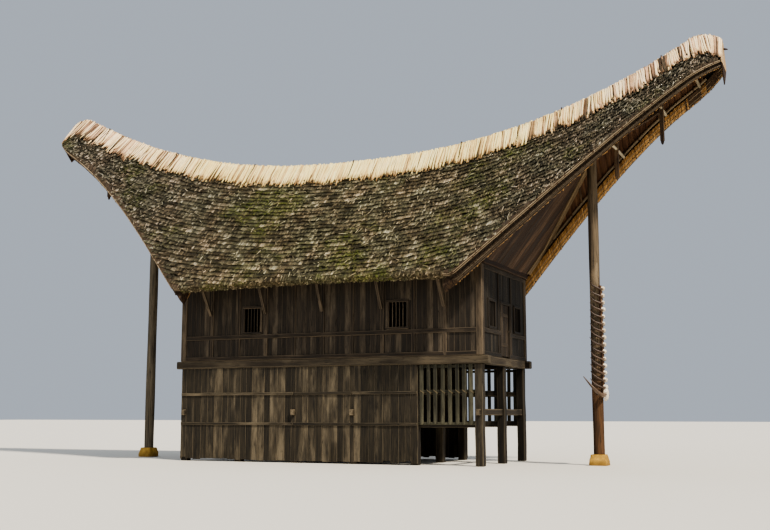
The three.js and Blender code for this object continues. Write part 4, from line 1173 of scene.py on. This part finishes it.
roof_ys = np.concatenate([-edge_y[::-1], edge_y[1:]])
for name, side in SIDES:
    tiles, edge = new_batch(), new_batch()
    foot, under = slope_length(roof_ys) - 0.03, 0.003 - toward_tip(THATCH, roof_ys)
    core = [on_slope(side, roof_ys, down, out) for down, out in (
        (CORE_TOP, -CORE_SINK), (foot, -CORE_SINK), (foot, under), (CORE_TOP, under))]
    # The core gets a very low tone: dark showing between the tiles, painted shade.
    add_skin(tiles, np.stack(core, axis=1), tone=0.1)

    courses = []
    for number, down in enumerate(np.arange(COURSES_FROM, slope_length(edge_y).max(), COURSE)):
        row = np.arange(-TIP_Y + 0.03, TIP_Y - 0.03, TILE_WIDTH) + chance.uniform(0, TILE_WIDTH)
        row = row[(down < slope_length(row) - 0.01) & (np.abs(row) < TIP_Y - 0.05)]
        knots = np.arange(-TIP_Y - 1, TIP_Y + 1, DASH_WIDTH)
        dashes = np.interp(row, knots, chance.normal(0, 1, len(knots)))
        wave = down + 0.010 * np.sin(row * 1.7 + number)
        courses.append([row, wave, dashes, np.full(len(row), 1 - 2 * (number % 2))])
    y, down, dashes, upper = np.concatenate(courses, axis=1)
    count = len(y)
    half = TILE_WIDTH / 2 * chance.uniform(0.75, 1.05, count)
    unruly = np.clip((np.abs(y) - 4.5) / 4.5, 0, 1)
    tip = down + 0.016 * upper + chance.normal(0, 1, count) * (0.011 + 0.020 * unruly) + 0.008 * dashes
    tip = np.minimum(tip, slope_length(y) + 0.03)
    lift = thatch_lift(y, down) + PAIR_STEP * upper + chance.exponential(0.006, count)
    thick = chance.uniform(0.016, 0.030, count)
    twist = chance.normal(0, 1, count) * (0.006 + 0.016 * unruly)
    root = np.maximum(tip - TILE_LENGTH * chance.uniform(0.8, 1.1, count), 0.3)
    # The sunk courses get a lower tone, as painted shade between the courses. The dashes are tone that
    # differs along a course.
    tone = 0.42 + 0.08 * upper + (0.19 - 0.10 * unruly) * dashes
    tone = np.clip(tone + chance.normal(0, 1, count) * (0.15 + 0.07 * unruly), 0, 1)
    corners = [on_slope(side, y + sign * half, down, out) for sign, down, out in (
        (-1, root, lift * 0.6 + TILE_UNDER), (1, root, lift * 0.6 + TILE_UNDER),
        (1, tip + twist, lift + thick), (-1, tip - twist, lift + thick),
        (1, tip + twist - 0.006, lift + TILE_UNDER), (-1, tip - twist - 0.006, lift + TILE_UNDER))]
    add_many(tiles, corners, TILE_FORM, side, tone, [0.0, 0.0, 1.0, 1.0, 0.2, 0.2],
             np.stack([root, root, tip, tip, tip, tip], axis=1))

    y = chance.uniform(-STRAWS_TO_Y, STRAWS_TO_Y, STRAWS)
    down = COURSES_FROM + chance.random(STRAWS) * np.maximum(slope_length(y) - COURSES_FROM, 0.05)
    length = chance.uniform(0.06, 0.22, STRAWS)
    turn = chance.normal(0, 0.9, STRAWS)
    thin = chance.uniform(0.004, 0.010, STRAWS)
    lift = thatch_lift(y, down) + 0.022 + chance.exponential(0.012, STRAWS)
    tip_lift = lift + chance.normal(0.02, 0.03, STRAWS)
    tip_y = y + np.sin(turn) * length
    tip = np.minimum(down + np.cos(turn) * length, slope_length(tip_y) + 0.06)
    wide, wide_down = np.cos(turn) * thin, -np.sin(turn) * thin
    corners = [on_slope(side, *corner) for corner in (
        (y - wide, down - wide_down, lift), (y + wide, down + wide_down, lift),
        (tip_y + wide, tip + wide_down, tip_lift), (tip_y - wide, tip - wide_down, tip_lift),
        (tip_y, tip, tip_lift - 2 * thin), (y, down, lift - 2 * thin))]
    tone = chance.uniform(0.7, 1.0, STRAWS)
    add_many(tiles, corners, STRAW_FORM, side, tone, 0.9, [0.0, 0.0, 0.3, 0.3, 0.3, 0.0])

    row = np.arange(-EAVES_TO_Y, EAVES_TO_Y, EDGE_STICK)
    for layer in range(EDGE_LAYERS):
        y = row + chance.normal(0, 0.004, len(row))
        share = toward_tip(THATCH, y) / EDGE_LAYERS
        tip = slope_length(y) + chance.normal(0.022, 0.018, len(row)) - 0.004 * layer
        half = EDGE_STICK / 2 * chance.uniform(0.7, 1.0, len(row))
        ends = [(np.maximum(tip - EDGE_LENGTH, 0.03), share * 0.42),
                (tip, share * 0.42 * chance.uniform(0.6, 1.0, len(row)))]
        # The edge sticks get a low tone: painted shade along the verge.
        tone = np.clip(chance.normal(0.34, 0.20, len(row)), 0, 1)
        add_sticks(edge, side, y, half, share * (layer + 0.5), ends, tone, EDGE_LENGTH)
    fit_piece(f"{name}_bamboo_tiles", tiles, thatch_bamboo, "roof_bamboo", f"{name}_roof_thatch", smooth=None)
    fit_piece(f"{name}_thatch_edge", edge, thatch_bamboo, "roof_bamboo", smooth=None)


# Verges: under each climbing edge the thatch rests on tiers of cut bamboo, each tier on a long
# bamboo pole bent to the curve. A stouter pole runs inside them against the soffit, and a lining of
# pale split bamboo closes them below. The cut bamboo is painted dark brown, as painted shade, and
# darker in the lower layers and the tiers. The poles among the tiers are painted darker than the
# pale rods above them.
VERGE_DEPTH = (0.25, 0.11)
VERGE_WIDTH = (0.46, 0.34)
VERGE_TAIL = 0.23
VERGE_STICK = 0.030
VERGE_LAYERS = 4
LAYER_LENGTH = 0.24
VERGE_RODS = 2
VERGE_ROD = 0.012
VERGE_TIERS = 3
TIER_LENGTH = 0.20
VERGE_SETBACK = 0.030
VERGE_POLE = (0.019, 0.01368)
LINING_STICK = 0.042
LINING_HALF_THICK = 0.009
LINING_RODS = (0.10, 0.24)
LINING_ROD = 0.010
INNER_POLE = 0.038
INNER_POLE_IN = (0.56, 0.42)

# Dark brown cut bamboo: painted shade along the verge.
comb_bamboo_painted_shade = wood_finish("comb_bamboo_painted_shade", (24, 19, 15), (58, 46, 35), (96, 80, 62))
lining_bamboo = wood_finish("lining_bamboo", (112, 76, 42), (186, 140, 82), (204, 164, 108), fibre=22.0)
verge_pole, grain, tone = new_material("verge_pole", "grain", "tone", roughness=0.6, relief=0.3,
                                       specular=0.35)
streak = noise(scaled(grain, (2.0, 90.0, 90.0)), 1.0, 4.0)
knot = add_node("TexWave", {"Vector": scaled(grain, (0.32, 0.0, 0.0)), "Scale": 1.0, "Distortion": 0.4},
                bands_direction="X", wave_profile="SAW")["Fac"]
cane = blend(remap(streak, 0.3, 0.7), paint(92, 77, 58), paint(168, 149, 120))
cane = blend(remap(knot, 0.93, 0.97), cane, paint(86, 60, 40))
# A low tone darkens the cane: painted shade on the poles among the tiers.
cane = blend(remap(tone, 0.0, 1.0, 0.75, 0.0), cane, paint(40, 31, 24))
coat(verge_pole, cane, sums("MULTIPLY_ADD", streak, 0.4, knot))
verge_core, place = new_material("verge_core", "place", roughness=0.9, relief=0.5)
mat = noise(scaled(place, (8.0, 40.0, 8.0)), 1.0, 5.0)
coat(verge_core, blend(remap(mat, 0.35, 0.65), paint(34, 26, 20), paint(76, 58, 42)), mat)


def add_verge(combs, poles, lining, side, direction):
    """The cut bamboo under one climbing edge, the poles that carry it and the pale lining below."""
    row = direction * np.arange(EAVE_Y - VERGE_TAIL + 0.03, TIP_Y - 0.05, VERGE_STICK)
    line = direction * np.linspace(EAVE_Y - VERGE_TAIL, TIP_Y - 0.02, 46)
    thatch, depth = toward_tip(THATCH, line), toward_tip(VERGE_DEPTH, line)

    def pole(y, inset, depth, radii, sides, tone):
        add_pole(poles, on_slope(side, y, slope_length(y) - inset, -depth), radii, sides, tone)

    for layer in range(VERGE_LAYERS):
        y = row + chance.normal(0, 0.003, len(row))
        share = toward_tip(THATCH, row) / VERGE_LAYERS
        tip = slope_length(y) + chance.normal(0.010, 0.012, len(row)) - 0.006 * layer
        half = VERGE_STICK / 2 * chance.uniform(0.7, 1.0, len(row))
        # The lower layers and the tiers get lower tones: painted shade.
        tone = np.clip(chance.normal(0.85 - 0.2 * layer, 0.16, len(row)), 0, 1)
        ends = [(down, share * 0.40) for down in (np.maximum(tip - LAYER_LENGTH, 0.02), tip)]
        add_sticks(combs, side, y, half, share * (layer + 0.5), ends, tone, LAYER_LENGTH, 1.0 - 0.25 * layer)
        if layer < VERGE_RODS:
            pole(line, -0.030, thatch * (layer + 0.55) / VERGE_LAYERS - 0.010, VERGE_ROD, 8, 1.0)
    for tier in range(VERGE_TIERS):
        y = row + chance.normal(0, 0.003, len(row))
        share = toward_tip(VERGE_DEPTH, row) / VERGE_TIERS
        tip = slope_length(y) - VERGE_SETBACK * tier + 0.016 - chance.normal(0, 0.012, len(row))
        half = VERGE_STICK / 2 * chance.uniform(0.7, 1.0, len(row))
        tone = np.clip(chance.normal(0.30, 0.12, len(row)), 0, 1)
        ends = [(down, share * 0.27) for down in (np.maximum(tip - TIER_LENGTH, 0.02), tip)]
        under = toward_tip(THATCH, y) + share * (tier + 0.30)
        add_sticks(combs, side, y, half, under, ends, tone, TIER_LENGTH)
        pole(line, VERGE_SETBACK * tier - 0.002, thatch + depth / VERGE_TIERS * (tier + 0.78),
             toward_tip(VERGE_POLE, line), 9, 0.30)
    y = direction * np.arange(EAVE_Y - VERGE_TAIL + 0.02, TIP_Y - 0.04, LINING_STICK)
    y = y + chance.normal(0, 0.004, len(y))
    under = toward_tip(THATCH, y) + toward_tip(VERGE_DEPTH, y) + chance.uniform(0.0, 0.012, len(y))
    foot = slope_length(y) - VERGE_SETBACK * 1.6 + chance.normal(0.0, 0.020, len(y))
    head = slope_length(y) - toward_tip(VERGE_WIDTH, y) - chance.uniform(0.0, 0.02, len(y))
    half = LINING_STICK / 2 * chance.uniform(0.75, 1.0, len(y))
    ends = [(down, LINING_HALF_THICK) for down in (head, foot)]
    add_sticks(lining, side, y, half, under, ends, chance.uniform(0.2, 1.0, len(y)), 0.45, 0.8)
    for inset in LINING_RODS:
        pole(line, VERGE_SETBACK + inset, thatch + depth + 0.026, LINING_ROD, 6, 0.8)
    line = direction * np.linspace(EAVE_Y - 0.1, TIP_Y - 0.5, 40)
    under = toward_tip(THATCH, line) + SOFFIT + INNER_POLE + SOFFIT_ROOM
    pole(line, toward_tip(INNER_POLE_IN, line), under, INNER_POLE, 11, 0.6)


for end, direction in ENDS:
    for name, side in SIDES:
        combs, poles, lining = new_batch(), new_batch(), new_batch()
        add_verge(combs, poles, lining, side, direction)
        fit_piece(f"{end}_{name}_verge_combs", combs, comb_bamboo_painted_shade, "verge_bamboo", smooth=None)
        fit_piece(f"{end}_{name}_verge_lining", lining, lining_bamboo, "verge_bamboo", smooth=None)
        fit_piece(f"{end}_{name}_verge_poles", poles, verge_pole, "verge_bamboo", smooth=60)
        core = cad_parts[f"{end}_{name}_verge"]
        core.data.materials.clear()
        core.data.materials.append(verge_core)


# Ridge cap: split bamboo slats lie over the ridge from both sides in three layers, pale from the
# sun, and dark rods pinned across them keep the wind from lifting them. The core between the slats,
# the lower layers and the slats towards the tips are painted darker: painted shade.
CAP_REACH = 0.73
CAP_MARGIN = 0.05
CAP_OUT = 0.062
CAP_SLAT = 0.060
CAP_SLAT_THICK = 0.012
CAP_KEPT = (1.0, 0.94, 0.72)
CAP_FAN = 0.15
CAP_SINK = 0.030
CAP_RODS_Y = (-9.3, -6.5, -3.5, 0.0, 3.5, 6.5, 9.3)
CAP_ROD = (0.016, 0.011)
CAP_ROD_REACH = 0.82
SLAT_FORM = [(4 * ring + i, 4 * ring + (i + 1) % 4, 4 * ring + 4 + (i + 1) % 4, 4 * ring + 4 + i)
             for ring in range(4) for i in range(4)] + [(3, 2, 1, 0), (16, 17, 18, 19)]

cap_bamboo, place, grain, tone, wear = new_material("cap_bamboo", "place", "grain", "tone", "wear",
                                                    roughness=0.8, relief=0.45)
streak = noise(scaled(grain, (3.0, 90.0, 90.0)), 1.0, 4.0)
stain = noise(scaled(place, (2.2, 1.1, 2.2)), 1.0, 5.0)
age = sums("MULTIPLY_ADD", tone, 0.75, sums("MULTIPLY", stain, 0.35))
aged = add_ramp(sums("MULTIPLY_ADD", wear, -0.22, age), (0.16, (64, 58, 48)), (0.33, (140, 114, 94)),
                (0.47, (214, 188, 160)), (0.62, (252, 238, 198)), (0.86, (255, 250, 224)))
out_at = sums("ABSOLUTE", add_node("SeparateXYZ", {0: place})["Y"])
blush = sums("MULTIPLY_ADD", stain, 0.9, remap(out_at, 3.5, 9.5, -0.35, 0.12))
tint = blend(remap(blush, 0.0, 0.75), paint(255, 243, 196), paint(255, 236, 226))
slat = blend(remap(streak, 0.32, 0.6, 0.40, 0.0), blend(1.0, aged, tint, "MULTIPLY"), paint(120, 104, 80))
coat(cap_bamboo, slat, streak)

for name, side, nodes in (("left", -1, ["ridge_cap"]), ("right", 1, [])):
    slats = new_batch()
    if nodes:
        foot, sunk = np.minimum(CAP_REACH, slope_length(roof_ys) - CAP_MARGIN) - 0.03, CAP_OUT - CAP_SINK
        keel, crest = (np.stack([0 * roof_ys, roof_ys, z], axis=-1)
                       for z in (layer_z(0, roof_ys, 0.012), ridge_top(roof_ys) - CAP_SINK * 1.6))
        flank = [(foot, -0.012), (foot, sunk), (0.10, sunk)]
        core = [keel, *(on_slope(1, roof_ys, *corner) for corner in flank), crest,
                *(on_slope(-1, roof_ys, *corner) for corner in flank[::-1])]
        # The core gets the lowest tone: dark between the slats, painted shade.
        add_skin(slats, np.stack(core, axis=1), tone=0.0, wear=0.5)
    for layer, kept in enumerate(CAP_KEPT):
        y = np.arange(-TIP_Y + 0.02, TIP_Y - 0.01, CAP_SLAT) + layer * CAP_SLAT * 0.37
        lost = 0.12 * layer * (y / TIP_Y) ** 2
        y = y[(np.abs(y) < TIP_Y - 0.01) & (chance.random(len(y)) < kept - lost)]
        count = len(y)
        y = y + chance.normal(0, 0.006, count)
        clump = 0.045 * np.sin(y * 4.1 + side) + 0.035 * np.sin(y * 9.7 + 2 * side)
        far = np.abs(y) / TIP_Y
        reach = CAP_REACH * (chance.uniform(0.84, 1.10, count) + 0.10 * far) + clump + 0.04 * (1 - layer)
        reach = np.minimum(reach, slope_length(y) - CAP_MARGIN + chance.normal(0.02, 0.02, count))
        rise = CAP_OUT - 0.026 + 0.012 * layer + chance.exponential(0.005, count)
        fan = chance.normal(0, 0.032, count) + CAP_FAN * np.sign(y) * np.minimum(1, (np.abs(y) / 9) ** 1.5)
        fan *= np.clip((TIP_Y + 0.05 - np.abs(y)) / 0.5, 0.1, 1)
        half = CAP_SLAT / 2 * chance.uniform(0.62, 1.0, count)
        places = (
            (-0.04 - chance.random(count) * 0.07, rise + 0.014),
            (0.10 * np.ones(count), rise),
            (0.34 * reach / CAP_REACH + 0.02, rise + 0.006),
            (0.80 * reach, rise - 0.002),
            (reach, rise - 0.012 + chance.normal(0, 0.010, count)),
        )
        corners = [on_slope(side, y + fan * step / 4 + a * half, down, out + b * CAP_SLAT_THICK)
                   for step, (down, out) in enumerate(places)
                   for a, b in ((-1.0, 0.0), (-0.55, 1.0), (0.55, 1.0), (1.0, 0.0))]
        # Lower layers and slats towards the tips get lower tones: painted shade.
        tone = 0.57 + 0.11 * layer - 0.22 * far**2 + chance.normal(0, 1, count) * (0.15 + 0.16 * far)
        worn_and_painted_light, along = (np.repeat(part, 4) for part in ([0.0, 0.0, 0.0, 0.3, 1.0], [0.0, 0.1, 0.3, 0.6, 0.75]))
        add_many(slats, corners, SLAT_FORM, -side, np.clip(tone, 0, 1), worn_and_painted_light, along)
    fit_piece(f"{name}_cap_slats", slats, cap_bamboo, "ridge_bamboo", *nodes, smooth=None)

rods = new_batch()
for y in CAP_RODS_Y:
    for side in (-1, 1):
        slant = chance.normal(0, 0.05)
        downs = np.linspace(-0.10, CAP_REACH * CAP_ROD_REACH, 7)
        outs = CAP_OUT + 0.024 + np.array([0.03, 0.0, 0.0, 0.0, 0.0, 0.0, 0.01])
        add_pole(rods, on_slope(side, y + slant * downs, downs, outs), np.linspace(*CAP_ROD, 7), 7)
fit_piece("cap_rods", rods, rafter_wood, "dark_timber", smooth=60)


# Tip boards: each tip is closed by two thin boards cut to a point, pale above and dark below, and
# a short dark finial stands out under the cap.
TIP_WAIST = 0.75
TIP_SHOULDER = 0.9
TIP_DROP = 0.16
TIP_EASE = 0.006
TIP_RIM = (0.055, 0.026)
TIP_RIM_IN = 0.012
FINIAL = ((-0.05, 0.0, 0.030), (0.03, 0.008, 0.028), (0.09, 0.02, 0.018), (0.115, 0.03, 0.006))
FINIAL_DOWN = 0.16

tip_wood = wood_finish("tip_wood", (36, 26, 20), (86, 62, 44), (128, 104, 76))
tip_rim_wood = wood_finish("tip_rim_wood", (150, 118, 84), (206, 176, 134), (230, 208, 172))


def add_plate(batch, outline, start, stop):
    """A board cut to an outline in X and Z, between two places along Y, with eased edges."""
    outline = np.asarray(outline, float)
    middle = outline.mean(axis=0)
    small = middle + (outline - middle) * (1 - TIP_EASE / np.linalg.norm(outline - middle, axis=1).mean())
    ease = TIP_EASE * np.sign(stop - start)
    levels = ((small, start), (outline, start + ease), (outline, stop - ease), (small, stop))
    add_skin(batch, [np.column_stack([flat[:, 0], np.full(len(flat), y), flat[:, 1]]) for flat, y in levels])


for end, direction in ENDS:
    low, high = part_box(f"{end}_tip_board")
    inner, outer = (low.y, high.y) if direction > 0 else (high.y, low.y)
    board, rim = new_batch(), new_batch()
    edge, half, waist, shoulder = VERGE[-1][1], high.x, high.x * TIP_WAIST, high.x * TIP_SHOULDER
    knee, split = edge - TIP_DROP, edge - TIP_DROP * 0.4
    flank = [(waist * 0.55, (low.z + knee) / 2), (waist, knee), (shoulder, split - 0.01)]
    add_plate(board, [(0, low.z), *flank, *((-x, z) for x, z in flank[::-1])], inner, outer)
    upper = [(shoulder, split), (half, edge), (0, high.z), (-half, edge), (-shoulder, split)]
    add_plate(rim, upper, inner, outer)
    for side in (-1, 1):
        y = outer - direction * TIP_RIM_IN
        foot, head = (side * half, y, edge - 0.02), (side * 0.012, y, high.z - 0.01)
        add_timber(rim, foot, head, *TIP_RIM, chamfer=0.004, bow=0.0, facing=(0, 1, 0))
    finial = [(0, outer + direction * out, high.z - FINIAL_DOWN - down) for out, down, _ in FINIAL]
    add_pole(board, finial, [radius for _, _, radius in FINIAL], 10, tone=0.2)
    fit_piece(f"{end}_tip_point", board, tip_wood, "soffit_board", f"{end}_tip_board")
    fit_piece(f"{end}_tip_rim", rim, tip_rim_wood, "soffit_board")


# Overhang frames: flat hanging posts drop from the ridge beam under each overhang, round poles
# cross from verge to verge through them, and a long tie leans up from the gable post.
HANGERS = ((8.0, 7.80), (9.25, 8.67))
HANGER = 0.11
HANGER_POINT = ((-0.10, 0.012), (-0.06, 0.036), (0.01, 0.05))
CROSS_POLE = 0.042
CROSS_POLES_Y = (*(y for y, _ in HANGERS), 10.2)
CROSS_POLE_STEPS = 9
LONG_TIE = ((7.428, 8.56), (9.28, 9.56))
LONG_TIE_SIZE = (0.08, 0.12)

hanger_wood = wood_finish("hanger_wood", (32, 24, 20), (78, 60, 46), (118, 98, 76))
pole_wood = wood_finish("pole_wood", (92, 82, 66), (158, 146, 122), (196, 184, 158))
for end, direction in ENDS:
    hang, cross = new_batch(), new_batch()
    for distance, foot in HANGERS:
        y = direction * distance
        head = soffit_z(BEAM_HALF, y) - toward_tip(BEAM_DEPTH, y) - 0.025
        add_timber(hang, (0, y, foot), (0, y, head), HANGER * 0.8, HANGER, chamfer=0.010, bow=0.002)
        point = [(0, y, foot + up) for up, _ in HANGER_POINT]
        add_pole(hang, point, [radius for _, radius in HANGER_POINT], 8)
    start, stop = ((0, direction * y, z) for y, z in LONG_TIE)
    add_timber(hang, start, stop, *LONG_TIE_SIZE, chamfer=0.010)
    for distance in CROSS_POLES_Y:
        y = direction * distance
        depth = toward_tip(THATCH, y) + 0.68 * toward_tip(VERGE_DEPTH, y)
        reach, _, level = on_slope(1, y, slope_length(y) - toward_tip(VERGE_WIDTH, y) - 0.02, -depth)
        xs = np.linspace(-reach, reach, CROSS_POLE_STEPS)
        path = np.column_stack([xs, 0 * xs + y, level + 0.012 * np.cos(xs / reach * 1.5)])
        radii = CROSS_POLE * chance.uniform(0.92, 1.05, CROSS_POLE_STEPS)
        add_pole(cross, path, radii, tone=chance.uniform(0.4, 1.0))
    fit_piece(f"{end}_hanging_posts", hang, hanger_wood, "dark_timber", f"{end}_overhang_frame")
    fit_piece(f"{end}_cross_poles", cross, pole_wood, "dark_timber", smooth=50)
